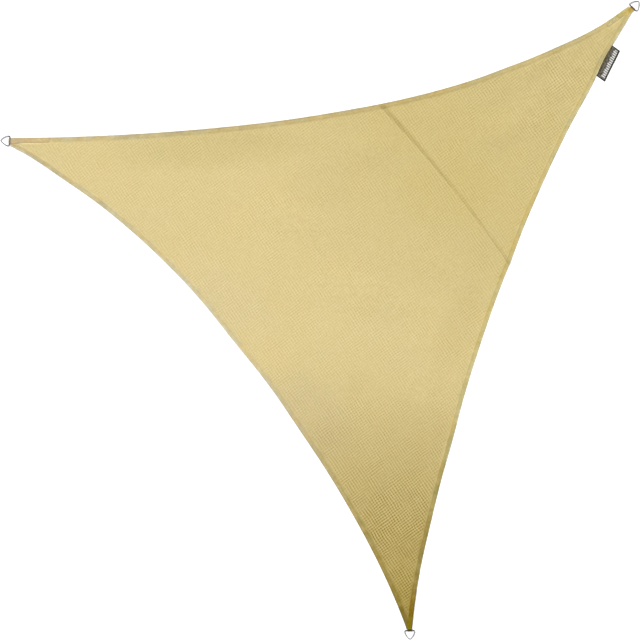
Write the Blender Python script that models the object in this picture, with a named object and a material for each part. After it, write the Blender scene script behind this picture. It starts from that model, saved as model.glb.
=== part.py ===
"""Triangular shade sail of knitted cloth, laid out face up on a flat surface.

Two panels of knitted cloth are lapped and sewn along one seam.  The three
outer edges curve inwards and are finished with a wide folded hem.  At each
corner a webbing strap is sewn on along one edge, passes round the bar of a
delta-shaped steel ring and runs back underneath along the other edge.  A
plain woven tab is sewn under the hem near one corner.

Frame: +Z up, underside on Z = 0, X along the side between corners A and C,
+Y towards corner B, origin in the middle of the whole outline.
Sizes are named in millimetres and turned into metres at the end.
"""
import math

import bpy
import numpy as np
from mathutils.geometry import delaunay_2d_cdt

MM = 0.001

# ---------------------------------------------------------------- main sizes
CLOTH_T = 1.0          # knitted cloth, one layer
HEM_T = 3.0            # folded hem with its sewing
HEM_W = 26.0           # visible width of the folded hem
HEM_STEP = 1.6         # width of the slope from hem down to cloth
GAP = 0.35             # clearance between pieces that touch
LAP_W = 18.0           # width of the lapped seam between the panels
LAP_RAMP = 30.0        # upper panel comes down to the surface over this
SEAM_Y = 144.5         # seam height at its two ends
SEAM_BOW = 21.0        # the seam bows this much towards corner B
SEAM_X = -40.7         # middle of the seam
SEAM_HALF = 555.0      # half of its length

STRAP_W = 25.0         # webbing width
STRAP_T = 1.4          # webbing thickness
STRAP_IN = 13.5        # webbing centre line, in from the edge

WIRE_R = 2.75          # ring wire radius
BAR_HALF = 20.0        # straight half length of the ring's bar
BAR_CORNER_R = 7.5     # centre-line radius at the ends of the bar
SIDE_R = 80.0          # centre-line radius of the ring's bowed sides
APEX_R = 9.0           # centre-line radius at the nose of the ring
RING_DEEP = 47.5       # bar centre to nose centre
APEX_FLAT = 5.0        # straight stretch at the nose
APEX_Z = 2.9           # height of the nose's centre above the surface
EYE_R = 3.4            # inner radius of the webbing round the bar
BAR_Z = EYE_R + STRAP_T
TIP_BACK = 8.0         # the cloth stops this far from the bar's centre

TAB_LONG = 191.0       # woven tab, along the edge
TAB_OUT = 58.5         # how far it stands out from the edge
TAB_TUCK = 12.0        # how far it runs under the hem
TAB_T = 1.0
TAB_Y = 1257.7         # height of its middle on the edge
TAB_SKEW = 9.0         # its outer side sits this much further along the edge

EDGE_STEP = 90.0       # spacing of points along the edges
GRID_STEP = 120.0      # spacing of points inside the panels

# bar centre x, y; direction in which the ring points; width of the cloth tip;
# how far the tip sits off the bar's centre
CORNERS = {
    "A": dict(x=-1753.0, y=-1576.0, out=-134.2, tip=45.0, slide=5.0),
    "B": dict(x=-142.2, y=1565.4, out=97.4, tip=35.0, slide=5.0),
    "C": dict(x=1749.2, y=-1572.0, out=-37.3, tip=30.0, slide=-1.5),
}

# inward bow of each edge: at mid length, skew, fullness near the corners, twist
EDGES = {
    "AB": dict(start="A", end="B", mid=235.6, skew=84.9, full=28.5, twist=-4.6),
    "BC": dict(start="B", end="C", mid=177.4, skew=-7.2, full=10.6, twist=14.3),
    "CA": dict(start="C", end="A", mid=276.0, skew=49.3, full=45.2, twist=-35.9),
}

# where an edge is drawn in, or bulges out, on its own: share of the edge's
# length, spread as a share of it, depth
DENTS = {
    "AB": [dict(at=0.94, wide=0.050, deep=9.1),
           dict(at=0.79, wide=0.035, deep=-3.5),
           dict(at=0.52, wide=0.065, deep=-2.7)],
    "BC": [dict(at=0.081, wide=0.027, deep=6.6),
           dict(at=0.14, wide=0.050, deep=-6.4),
           dict(at=0.42, wide=0.035, deep=-3.7),
           dict(at=0.71, wide=0.050, deep=-5.5),
           dict(at=0.92, wide=0.065, deep=7.1)],
    "CA": [dict(at=0.36, wide=0.065, deep=-4.3),
           dict(at=0.53, wide=0.065, deep=-8.8),
           dict(at=0.90, wide=0.035, deep=-3.4),
           dict(at=0.97, wide=0.035, deep=2.7)],
}

# webbing at each corner: edge that the top leg follows, edge that the lower
# leg follows, length of the legs
STRAPS = {
    "A": dict(top="AB", low="CA", leg=205.0),
    "B": dict(top="AB", low="BC", leg=150.0),
    "C": dict(top="BC", low="CA", leg=216.0),
}

# low swells where the cloth stands clear of the surface:
# centre x, y; direction of the crest; half length; half width; height
SWELLS = [
    dict(x=-1010.0, y=-520.0, turn=52.0, long=420.0, wide=150.0, high=5.0),
    dict(x=-420.0, y=-640.0, turn=20.0, long=380.0, wide=130.0, high=4.0),
    dict(x=190.0, y=-560.0, turn=28.0, long=430.0, wide=150.0, high=5.5),
    dict(x=830.0, y=-700.0, turn=-24.0, long=360.0, wide=130.0, high=5.0),
    dict(x=-480.0, y=-90.0, turn=70.0, long=260.0, wide=140.0, high=4.0),
    dict(x=330.0, y=-150.0, turn=10.0, long=320.0, wide=120.0, high=4.5),
    dict(x=-60.0, y=640.0, turn=80.0, long=330.0, wide=120.0, high=5.0),
    dict(x=-230.0, y=990.0, turn=100.0, long=240.0, wide=70.0, high=3.5),
]


# ------------------------------------------------------------------ geometry
def direction(deg):
    a = math.radians(deg)
    return np.array([math.cos(a), math.sin(a)])


def smooth(x, lo, hi):
    s = min(max((x - lo) / (hi - lo), 0.0), 1.0)
    return s * s * (3.0 - 2.0 * s)


def corner_frame(name):
    """Bar centre, outward direction, and the direction along the bar."""
    c = CORNERS[name]
    e = direction(c["out"])
    return np.array([c["x"], c["y"]]), e, np.array([-e[1], e[0]])


def tip_point(name, side):
    """End of the cloth's tip, on the side of the edge named."""
    bar, e, n = corner_frame(name)
    row = CORNERS[name]
    sign = 1.0 if EDGES[side]["start"] == name else -1.0
    return bar - TIP_BACK * e + (row["slide"] - sign * 0.5 * row["tip"]) * n


def edge_point(edge, t, inset=0.0):
    """Point at share t of an edge, moved inwards by inset."""
    row = EDGES[edge]
    p0, p1 = tip_point(row["start"], edge), tip_point(row["end"], edge)
    run = p1 - p0
    length = np.linalg.norm(run)
    u = run / length
    inward = np.array([u[1], -u[0]])

    def at(s):
        w = 2.0 * s - 1.0
        bow = 4.0 * s * (1.0 - s) * (row["mid"] + row["skew"] * w
                                     + row["full"] * w * w + row["twist"] * w ** 3)
        # the tips themselves stay where they are
        hold = smooth(min(s, 1.0 - s), 0.0, 0.03)
        for dent in DENTS[edge]:
            bow += hold * dent["deep"] * math.exp(-((s - dent["at"]) / dent["wide"]) ** 2)
        return p0 + run * s + inward * bow

    p = at(t)
    if inset == 0.0:
        return p
    q = at(t + 1e-4) - at(t - 1e-4)
    q /= np.linalg.norm(q)
    return p + inset * np.array([q[1], -q[0]])


DENSE = {e: np.array([edge_point(e, t) for t in np.linspace(-0.004, 1.004, 1200)])
         for e in EDGES}


def edge_distance(p, edge):
    """Distance from a point to an edge's curve."""
    line = DENSE[edge]
    a, b = line[:-1], line[1:]
    ab = b - a
    s = np.clip(((p - a) * ab).sum(1) / (ab * ab).sum(1), 0.0, 1.0)
    return float(np.sqrt((((a + ab * s[:, None]) - p) ** 2).sum(1)).min())


def hem_distance(p):
    return min(edge_distance(p, e) for e in EDGES)


def seam_y(x):
    w = (x - SEAM_X) / SEAM_HALF
    return SEAM_Y + SEAM_BOW * (1.0 - w * w)


def bisect(f, lo, hi, steps=50):
    flo = f(lo)
    for _ in range(steps):
        mid = 0.5 * (lo + hi)
        fm = f(mid)
        if (fm > 0) == (flo > 0):
            lo, flo = mid, fm
        else:
            hi = mid
    return 0.5 * (lo + hi)


def seam_cross(edge, inset, off):
    """Share of an edge at which it meets the line off above the seam."""
    def f(t):
        p = edge_point(edge, t, inset)
        return p[1] - seam_y(p[0]) - off
    return bisect(f, 0.15, 0.9)


def hem_corner(edge, other, inset, at_end):
    """Share of an edge's inset line at which it meets the other edge's."""
    def f(t):
        return edge_distance(edge_point(edge, t, inset), other) - inset
    return bisect(f, 0.5, 1.0) if at_end else bisect(f, 0.5, 0.0)


TAB_T_AT = bisect(lambda t: edge_point("BC", t)[1] - TAB_Y, 0.0, 0.5)


def lift(p):
    """Height of the cloth's underside above the surface."""
    s = p[1] - seam_y(p[0])
    free = smooth(abs(s), 50.0, 130.0)
    z = 0.0
    for w in SWELLS:
        d = p - np.array([w["x"], w["y"]])
        u = direction(w["turn"])
        a = float(d @ u) / w["long"]
        b = float(d @ np.array([-u[1], u[0]])) / w["wide"]
        if abs(a) < 1.0 and abs(b) < 1.0:
            z += w["high"] * (math.cos(0.5 * math.pi * a)
                              * math.cos(0.5 * math.pi * b)) ** 2
    z *= free
    # over the lower leg of each corner's webbing
    for name in CORNERS:
        bar = corner_frame(name)[0]
        r = float(np.linalg.norm(p - bar))
        leg = STRAPS[name]["leg"]
        near = 1.0 - smooth(r, leg + 70.0, leg + 200.0)
        z = z * (1.0 - near) + near * (STRAP_T + GAP)
    # over the tucked part of the tab
    c = edge_point("BC", TAB_T_AT)
    r = float(np.linalg.norm(p - c))
    near = 1.0 - smooth(r, 0.5 * TAB_LONG + 95.0, 0.5 * TAB_LONG + 200.0)
    if near > 0.0:
        near *= 1.0 - smooth(edge_distance(p, "BC"), HEM_W + 3.0, HEM_W + 90.0)
    return max(z, near * (TAB_T + GAP))


def thickness(p):
    d = hem_distance(p)
    return HEM_T + (CLOTH_T - HEM_T) * min(max((d - HEM_W) / HEM_STEP, 0.0), 1.0)


def lap_height(p):
    """Extra height of the upper panel over the lapped seam."""
    s = p[1] - seam_y(p[0])
    share = 1.0 - min(max((s - 0.5 * LAP_W - 1.5) / LAP_RAMP, 0.0), 1.0)
    return share * (thickness(p) + GAP)


# ------------------------------------------------------------------- meshing
def run_points(edge, t0, t1, inset, step):
    a, b = edge_point(edge, t0, inset), edge_point(edge, t1, inset)
    n = max(2, int(math.ceil(np.linalg.norm(b - a) / step)))
    out = []
    for i in range(n + 1):
        s = i / n
        out.append(edge_point(edge, t0 + (t1 - t0) * s, inset))
    return out


def seam_points(off, step):
    """Points along a line off above the seam, from edge AB to edge BC."""
    insets = (0.0, HEM_W, HEM_W + HEM_STEP)
    left = [edge_point("AB", seam_cross("AB", d, off), d) for d in insets]
    right = [edge_point("BC", seam_cross("BC", d, off), d) for d in insets[::-1]]
    a, b = left[-1], right[0]
    n = max(2, int(math.ceil((b[0] - a[0]) / step)))
    middle = []
    for i in range(1, n):
        x = a[0] + (b[0] - a[0]) * i / n
        middle.append(np.array([x, seam_y(x) + off]))
    return left + middle + right


def triangulate(outline, lines, inner):
    """Triangles inside a closed outline, keeping the given lines."""
    verts, edges = [], []

    def add(points, closed):
        k = len(verts)
        verts.extend((float(p[0]), float(p[1])) for p in points)
        n = len(points)
        edges.extend((k + i, k + (i + 1) % n) for i in range(n if closed else n - 1))

    add(outline, True)
    for line in lines:
        add(line, False)
    verts.extend((float(p[0]), float(p[1])) for p in inner)
    got = delaunay_2d_cdt(verts, edges, [], 1, 1e-3)
    return [np.array([v[0], v[1]]) for v in got[0]], [list(f) for f in got[2]]


def sheet_solid(points, faces, low, high):
    """Closed solid between two heights over the same triangles."""
    n = len(points)
    verts = [(p[0], p[1], low(p)) for p in points]
    verts += [(p[0], p[1], high(p)) for p in points]
    out, used = [], {}
    for f in faces:
        a, b, c = (points[i] for i in f)
        if (b[0] - a[0]) * (c[1] - a[1]) - (b[1] - a[1]) * (c[0] - a[0]) < 0:
            f = f[::-1]
        out.append([i + n for i in f])
        out.append(f[::-1])
        for i in range(3):
            used[(f[i], f[(i + 1) % 3])] = True
    for (i, j) in list(used):
        if (j, i) not in used:
            out.append([i, j, j + n])
            out.append([i, j + n, i + n])
    return verts, out


def inner_grid(keep, box):
    pts = []
    x0, y0, x1, y1 = box
    rows = int((y1 - y0) / GRID_STEP)
    cols = int((x1 - x0) / GRID_STEP)
    for r in range(rows + 1):
        for c in range(cols + 1):
            p = np.array([x0 + (c + 0.5 * (r % 2)) * GRID_STEP, y0 + r * GRID_STEP])
            if keep(p):
                pts.append(p)
    return pts


def main_panel():
    off = 0.5 * LAP_W
    a0, b0 = seam_cross("AB", 0.0, off), seam_cross("BC", 0.0, off)
    outline = (run_points("AB", 0.0, a0, 0.0, EDGE_STEP)[:-1]
               + seam_points(off, EDGE_STEP)[:-1]
               + run_points("BC", b0, 1.0, 0.0, EDGE_STEP)
               + run_points("CA", 0.0, 1.0, 0.0, EDGE_STEP))
    lines = []
    for inset in (HEM_W, HEM_W + HEM_STEP):
        lines.append(
            run_points("BC", seam_cross("BC", inset, off),
                       hem_corner("BC", "CA", inset, True), inset, EDGE_STEP)[:-1]
            + run_points("CA", hem_corner("CA", "BC", inset, False),
                         hem_corner("CA", "AB", inset, True), inset, EDGE_STEP)
            + run_points("AB", hem_corner("AB", "CA", inset, False),
                         seam_cross("AB", inset, off), inset, EDGE_STEP)[1:])

    def keep(p):
        return (inside(p) and p[1] < seam_y(p[0]) + off - 0.45 * GRID_STEP
                and hem_distance(p) > HEM_W + 0.55 * GRID_STEP)

    inner = inner_grid(keep, (-1700.0, -1500.0, 1700.0, SEAM_Y + SEAM_BOW))
    pts, faces = triangulate(outline, lines, inner)
    return sheet_solid(pts, faces, lift, lambda p: lift(p) + thickness(p))


def corner_panel():
    off = -0.5 * LAP_W
    a0, b0 = seam_cross("AB", 0.0, off), seam_cross("BC", 0.0, off)
    outline = (run_points("AB", a0, 1.0, 0.0, EDGE_STEP)
               + run_points("BC", 0.0, b0, 0.0, EDGE_STEP)[:-1]
               + seam_points(off, EDGE_STEP)[::-1][:-1])
    lines = []
    for inset in (HEM_W, HEM_W + HEM_STEP):
        lines.append(
            run_points("AB", seam_cross("AB", inset, off),
                       hem_corner("AB", "BC", inset, True), inset, EDGE_STEP)[:-1]
            + run_points("BC", hem_corner("BC", "AB", inset, False),
                         seam_cross("BC", inset, off), inset, EDGE_STEP))
    ramp = 0.5 * LAP_W + 1.5
    lines.append(seam_points(ramp, EDGE_STEP))
    lines.append(seam_points(ramp + LAP_RAMP, EDGE_STEP))

    def keep(p):
        return (inside(p) and p[1] > seam_y(p[0]) + ramp + LAP_RAMP + 0.45 * GRID_STEP
                and hem_distance(p) > HEM_W + 0.55 * GRID_STEP)

    inner = inner_grid(keep, (-800.0, SEAM_Y, 700.0, 1600.0))
    pts, faces = triangulate(outline, lines, inner)

    def low(p):
        return lift(p) + lap_height(p)
    return sheet_solid(pts, faces, low, lambda p: low(p) + thickness(p))


OUTLINE = np.array([edge_point(e, t) for e in ("AB", "BC", "CA")
                    for t in np.linspace(0.0, 1.0, 160)])


def inside(p):
    """Whether a point lies inside the sail's outline."""
    a, b = OUTLINE, np.roll(OUTLINE, -1, axis=0)
    cross = (a[:, 1] > p[1]) != (b[:, 1] > p[1])
    with np.errstate(divide="ignore", invalid="ignore"):
        x = a[:, 0] + (p[1] - a[:, 1]) * (b[:, 0] - a[:, 0]) / (b[:, 1] - a[:, 1])
    return bool((cross & (p[0] < x)).sum() % 2)


# --------------------------------------------------------------- the webbing
def leg_line(name, edge, leg):
    """Plan points of one leg, from its free end to just short of the bar."""
    bar, e, _ = corner_frame(name)
    starts = EDGES[edge]["start"] == name
    length = np.linalg.norm(edge_point(edge, 1.0) - edge_point(edge, 0.0))

    def at(r):
        t = r / length
        return edge_point(edge, t if starts else 1.0 - t, STRAP_IN)

    out = [at(r) for r in np.linspace(leg, 62.0, 5)]
    # turn in to the middle of the bar
    p0, p1 = out[-1], bar - 16.0 * e
    t0 = out[-1] - out[-2]
    t0 = t0 / np.linalg.norm(t0)
    span = np.linalg.norm(p1 - p0)
    for s in (0.25, 0.5, 0.75, 1.0):
        h1, h2 = 2 * s ** 3 - 3 * s ** 2 + 1, s ** 3 - 2 * s ** 2 + s
        h3, h4 = -2 * s ** 3 + 3 * s ** 2, s ** 3 - s ** 2
        out.append(h1 * p0 + h2 * span * t0 + h3 * p1 + h4 * span * e)
    return out


def strap_path(name):
    """Middle surface of the webbing: (point, width direction) pairs."""
    bar, e, n = corner_frame(name)
    row = STRAPS[name]
    high = STRAP_T + GAP + HEM_T + GAP + 0.5 * STRAP_T
    low = 0.5 * STRAP_T
    mid_r = EYE_R + 0.5 * STRAP_T
    path = []

    def plan(points, z, flip):
        for i, p in enumerate(points):
            a, b = points[max(i - 1, 0)], points[min(i + 1, len(points) - 1)]
            t = (b - a) / np.linalg.norm(b - a) * flip
            path.append((np.array([p[0], p[1], z]), np.array([-t[1], t[0], 0.0])))

    plan(leg_line(name, row["top"], row["leg"]), high, 1.0)
    wide = np.array([n[0], n[1], 0.0])
    top = BAR_Z + mid_r
    for s in (12.0, 8.0, 4.0):
        z = high + (top - high) * (1.0 - smooth(s, 0.0, 16.0))
        path.append((np.array([*(bar - s * e), z]), wide))
    for k in range(9):
        a = math.radians(90.0 - 22.5 * k)
        p = bar + mid_r * math.cos(a) * e
        path.append((np.array([p[0], p[1], BAR_Z + mid_r * math.sin(a)]), wide))
    plan(leg_line(name, row["low"], row["leg"])[::-1], low, -1.0)
    return path


def strap_solid(name):
    path = strap_path(name)
    verts, faces = [], []
    for i, (p, wide) in enumerate(path):
        a, b = path[max(i - 1, 0)][0], path[min(i + 1, len(path) - 1)][0]
        t = (b - a) / np.linalg.norm(b - a)
        up = np.cross(t, wide)
        up /= np.linalg.norm(up)
        for su, sw in ((1, 1), (1, -1), (-1, -1), (-1, 1)):
            verts.append(tuple(p + sw * 0.5 * STRAP_W * wide + su * 0.5 * STRAP_T * up))
    n = len(path)
    for i in range(n - 1):
        for k in range(4):
            a, b = 4 * i + k, 4 * i + (k + 1) % 4
            faces.append([a, b, b + 4, a + 4])
    faces.append([3, 2, 1, 0])
    faces.append([4 * (n - 1) + k for k in range(4)])
    return verts, faces


# ----------------------------------------------------------------- the rings
def ring_line():
    """Closed centre line of a ring: u along the bar, v away from it."""
    c1 = np.array([BAR_HALF, BAR_CORNER_R])
    c2 = np.array([0.0, RING_DEEP - APEX_R])
    # centre of the bowed side, which both end arcs touch from within
    r1, r2 = SIDE_R - BAR_CORNER_R, SIDE_R - APEX_R
    gap = np.linalg.norm(c2 - c1)
    u = (c2 - c1) / gap
    k = (r1 * r1 - r2 * r2 + gap * gap) / (2.0 * gap)
    c3 = c1 + k * u + math.sqrt(r1 * r1 - k * k) * np.array([-u[1], u[0]])
    first = math.atan2(c1[1] - c3[1], c1[0] - c3[0])
    last = math.atan2(c2[1] - c3[1], c2[0] - c3[0])
    stop = 0.5 * math.pi - math.asin(0.5 * APEX_FLAT / APEX_R)
    half = [np.array([0.0, 0.0])]
    for c, r, a0, a1, n in ((c1, BAR_CORNER_R, -0.5 * math.pi, first, 5),
                            (c3, SIDE_R, first, last, 6), (c2, APEX_R, last, stop, 2)):
        for a in np.linspace(a0, a1, n)[(0 if c is c1 else 1):]:
            half.append(c + r * np.array([math.cos(a), math.sin(a)]))
    return half + [np.array([-p[0], p[1]]) for p in half[:0:-1]]


def ring_solid(name):
    bar, e, n = corner_frame(name)
    line = ring_line()
    tilt = math.asin((BAR_Z - APEX_Z) / RING_DEEP)
    out = np.array([e[0] * math.cos(tilt), e[1] * math.cos(tilt), -math.sin(tilt)])
    along = np.array([n[0], n[1], 0.0])
    up = np.cross(out, along)
    if up[2] < 0:
        up = -up
    base = np.array([bar[0], bar[1], BAR_Z])
    m = len(line)
    circum = WIRE_R / math.cos(math.pi / 8)
    verts, faces = [], []
    for i, q in enumerate(line):
        a, b = line[i - 1], line[(i + 1) % m]
        d0, d1 = q - a, b - q
        d0, d1 = d0 / np.linalg.norm(d0), d1 / np.linalg.norm(d1)
        t = (d0 + d1) / np.linalg.norm(d0 + d1)
        side = np.array([t[1], -t[0]])
        # mitre, so that each run keeps its full thickness
        mitre = 1.0 / max(0.5, float(t @ d0))
        for k in range(8):
            ang = math.radians(22.5 + 45.0 * k)
            w = q + side * circum * math.cos(ang) * mitre
            verts.append(tuple(base + w[0] * along + w[1] * out
                               + circum * math.sin(ang) * up))
    for i in range(m):
        j = (i + 1) % m
        for k in range(8):
            l = (k + 1) % 8
            faces.append([8 * i + k, 8 * i + l, 8 * j + l, 8 * j + k])
    return verts, faces


# ------------------------------------------------------------------- the tab
def tab_solid():
    c = edge_point("BC", TAB_T_AT)
    t = edge_point("BC", TAB_T_AT + 1e-4) - edge_point("BC", TAB_T_AT - 1e-4)
    t /= np.linalg.norm(t)
    out = np.array([-t[1], t[0]])
    cols, rows = 6, 4
    verts, faces = [], []
    for z in (0.0, TAB_T):
        for i in range(cols + 1):
            for j in range(rows + 1):
                a = (i / cols - 0.5) * TAB_LONG
                b = -TAB_TUCK + (TAB_TUCK + TAB_OUT) * j / rows
                p = c + (a + TAB_SKEW * b / TAB_OUT) * t + b * out
                free = smooth(b, 8.0, TAB_OUT)
                wave = 1.6 * free * (0.5 - 0.5 * math.cos(math.pi * (i / cols * 2.6 + 0.3)))
                verts.append((p[0], p[1], z + wave))
    per = (cols + 1) * (rows + 1)

    def vid(i, j, top):
        return i * (rows + 1) + j + (per if top else 0)

    for i in range(cols):
        for j in range(rows):
            q = [(i, j), (i + 1, j), (i + 1, j + 1), (i, j + 1)]
            faces.append([vid(a, b, True) for a, b in q])
            faces.append([vid(a, b, False) for a, b in reversed(q)])
    rim = ([(i, 0) for i in range(cols)] + [(cols, j) for j in range(rows)]
           + [(i, rows) for i in range(cols, 0, -1)] + [(0, j) for j in range(rows, 0, -1)])
    for k, (a, b) in enumerate(rim):
        c2, d2 = rim[(k + 1) % len(rim)]
        faces.append([vid(a, b, False), vid(c2, d2, False), vid(c2, d2, True), vid(a, b, True)])
    return verts, faces


# ------------------------------------------------------------------- objects
def material(name, colour, rough, metal):
    m = bpy.data.materials.new(name)
    m.use_nodes = True
    b = m.node_tree.nodes["Principled BSDF"]
    b.inputs["Base Color"].default_value = (*colour, 1.0)
    b.inputs["Roughness"].default_value = rough
    b.inputs["Metallic"].default_value = metal
    m.diffuse_color = (*colour, 1.0)
    return m


def make(name, solid, mat):
    verts, faces = solid
    mesh = bpy.data.meshes.new(name)
    mesh.from_pydata([(x * MM, y * MM, z * MM) for x, y, z in verts], [], faces)
    mesh.validate()
    mesh.update()
    mesh.materials.append(mat)
    obj = bpy.data.objects.new(name, mesh)
    bpy.context.scene.collection.objects.link(obj)
    volume = 0.0
    mesh.calc_loop_triangles()
    for tri in mesh.loop_triangles:
        a, b, c = (mesh.vertices[i].co for i in tri.vertices)
        volume += a.dot(b.cross(c))
    if volume < 0.0:
        mesh.flip_normals()
    return obj


def build():
    for obj in list(bpy.data.objects):
        bpy.data.objects.remove(obj, do_unlink=True)
    knit = material("knitted_cloth", (0.72, 0.59, 0.28), 0.8, 0.0)
    strap = material("webbing", (0.50, 0.34, 0.13), 0.8, 0.0)
    steel = material("ring_steel", (0.60, 0.60, 0.61), 0.3, 1.0)
    woven = material("woven_tab", (0.02, 0.02, 0.022), 0.7, 0.0)
    make("cloth_main", main_panel(), knit)
    make("cloth_corner", corner_panel(), knit)
    for name in CORNERS:
        make("webbing_" + name.lower(), strap_solid(name), strap)
        make("ring_" + name.lower(), ring_solid(name), steel)
    make("woven_tab", tab_solid(), woven)


build()
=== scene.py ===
import math

import bpy
import numpy as np
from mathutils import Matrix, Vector
from mathutils.geometry import delaunay_2d_cdt


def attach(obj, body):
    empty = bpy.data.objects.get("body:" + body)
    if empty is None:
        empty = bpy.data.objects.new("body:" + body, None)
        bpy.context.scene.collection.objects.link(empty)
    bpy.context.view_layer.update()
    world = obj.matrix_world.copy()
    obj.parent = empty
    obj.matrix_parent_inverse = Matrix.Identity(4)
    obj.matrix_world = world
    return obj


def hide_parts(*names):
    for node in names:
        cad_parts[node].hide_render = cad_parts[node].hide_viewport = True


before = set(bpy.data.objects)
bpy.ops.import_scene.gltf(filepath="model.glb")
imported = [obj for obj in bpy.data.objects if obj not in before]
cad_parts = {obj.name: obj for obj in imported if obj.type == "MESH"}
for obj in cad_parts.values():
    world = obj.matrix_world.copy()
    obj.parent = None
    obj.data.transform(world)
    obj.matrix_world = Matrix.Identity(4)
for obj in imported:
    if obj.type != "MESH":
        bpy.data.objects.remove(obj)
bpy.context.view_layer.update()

MM = 0.001

# ================================================================ main sizes
CLOTH_T = 1.0
HEM_T = 3.0
HEM_W = 26.0
HEM_STEP = 1.6
GAP = 0.35
LAP_W = 18.0
LAP_RAMP = 30.0
SEAM_Y, SEAM_BOW, SEAM_X, SEAM_HALF = 144.5, 21.0, -40.7, 555.0

STRAP_W, STRAP_T, STRAP_IN = 25.0, 1.4, 13.5
WIRE_R, BAR_HALF, BAR_CORNER_R, SIDE_R, APEX_R = 2.75, 20.0, 7.5, 80.0, 9.0
RING_DEEP, APEX_Z = 47.5, 2.9
EYE_R = 3.4
BAR_Z = EYE_R + STRAP_T
TIP_BACK = 8.0

TAB_LONG, TAB_OUT, TAB_TUCK, TAB_T, TAB_Y = 191.0, 58.5, 12.0, 1.0, 1257.7
TAB_SKEW = 9.0         # the outer side sits this much further along the edge

CORNERS = {
    "A": dict(x=-1753.0, y=-1576.0, out=-134.2, tip=45.0, slide=5.0),
    "B": dict(x=-142.2, y=1565.4, out=97.4, tip=35.0, slide=5.0),
    "C": dict(x=1749.2, y=-1572.0, out=-37.3, tip=30.0, slide=-1.5),
}
EDGES = {
    "AB": dict(start="A", end="B", mid=235.6, skew=84.9, full=28.5, twist=-4.6),
    "BC": dict(start="B", end="C", mid=177.4, skew=-7.2, full=10.6, twist=14.3),
    "CA": dict(start="C", end="A", mid=276.0, skew=49.3, full=45.2, twist=-35.9),
}
# shallow dents where an edge pulls in or stands out: share, width, depth
DENTS = {
    "AB": [dict(at=0.94, wide=0.050, deep=9.1), dict(at=0.79, wide=0.035, deep=-3.5),
           dict(at=0.52, wide=0.065, deep=-2.7)],
    "BC": [dict(at=0.081, wide=0.027, deep=6.6), dict(at=0.14, wide=0.050, deep=-6.4),
           dict(at=0.42, wide=0.035, deep=-3.7), dict(at=0.71, wide=0.050, deep=-5.5),
           dict(at=0.92, wide=0.065, deep=7.1)],
    "CA": [dict(at=0.36, wide=0.065, deep=-4.3), dict(at=0.53, wide=0.065, deep=-8.8),
           dict(at=0.90, wide=0.035, deep=-3.4), dict(at=0.97, wide=0.035, deep=2.7)],
}
STRAPS = {
    "A": dict(top="AB", low="CA", leg=205.0),
    "B": dict(top="AB", low="BC", leg=150.0),
    "C": dict(top="BC", low="CA", leg=216.0),
}
SWELLS = [
    dict(x=-1010.0, y=-520.0, turn=52.0, long=420.0, wide=150.0, high=5.0),
    dict(x=-420.0, y=-640.0, turn=20.0, long=380.0, wide=130.0, high=4.0),
    dict(x=190.0, y=-560.0, turn=28.0, long=430.0, wide=150.0, high=5.5),
    dict(x=830.0, y=-700.0, turn=-24.0, long=360.0, wide=130.0, high=5.0),
    dict(x=-480.0, y=-90.0, turn=70.0, long=260.0, wide=140.0, high=4.0),
    dict(x=330.0, y=-150.0, turn=10.0, long=320.0, wide=120.0, high=4.5),
    dict(x=-60.0, y=640.0, turn=80.0, long=330.0, wide=120.0, high=5.0),
    dict(x=-230.0, y=990.0, turn=100.0, long=240.0, wide=70.0, high=3.5),
]

# the knit's coarse pattern: direction of each wave and its pitch
KNIT = [dict(turn=84.2, pitch=15.07), dict(turn=-3.2, pitch=13.85)]
# slow drift of the pattern, in radians of phase: wave numbers per mm, start
DRIFT = [dict(high=1.5, kx=0.0031, ky=0.0042, start=0.7),
         dict(high=1.5, kx=-0.0047, ky=0.0029, start=2.1)]
RELIEF = 0.33          # half height of the coarse knit pattern

# faint long creases where the cloth was folded: ends, half width, height
CREASES = [
    dict(x0=-885.0, y0=-300.0, x1=-480.0, y1=-310.0, wide=17.0, high=1.1),
    dict(x0=-590.0, y0=60.0, x1=-230.0, y1=95.0, wide=13.0, high=0.8),
    dict(x0=-240.0, y0=-760.0, x1=230.0, y1=-705.0, wide=18.0, high=1.3),
    dict(x0=330.0, y0=-1010.0, x1=560.0, y1=-985.0, wide=15.0, high=1.2),
    dict(x0=-1270.0, y0=-905.0, x1=-930.0, y1=-960.0, wide=18.0, high=1.0),
    dict(x0=40.0, y0=-330.0, x1=420.0, y1=-300.0, wide=16.0, high=0.9),
    dict(x0=620.0, y0=-560.0, x1=800.0, y1=-880.0, wide=18.0, high=1.0),
    dict(x0=-330.0, y0=470.0, x1=60.0, y1=520.0, wide=15.0, high=0.9),
    dict(x0=-150.0, y0=830.0, x1=140.0, y1=800.0, wide=14.0, high=0.9),
    dict(x0=-260.0, y0=880.0, x1=-130.0, y1=1290.0, wide=12.0, high=1.5),
    dict(x0=-60.0, y0=930.0, x1=-95.0, y1=1330.0, wide=12.0, high=1.3),
    dict(x0=900.0, y0=-1010.0, x1=1420.0, y1=-1370.0, wide=15.0, high=1.2),
    dict(x0=1060.0, y0=-900.0, x1=1480.0, y1=-1310.0, wide=14.0, high=1.0),
]

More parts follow.
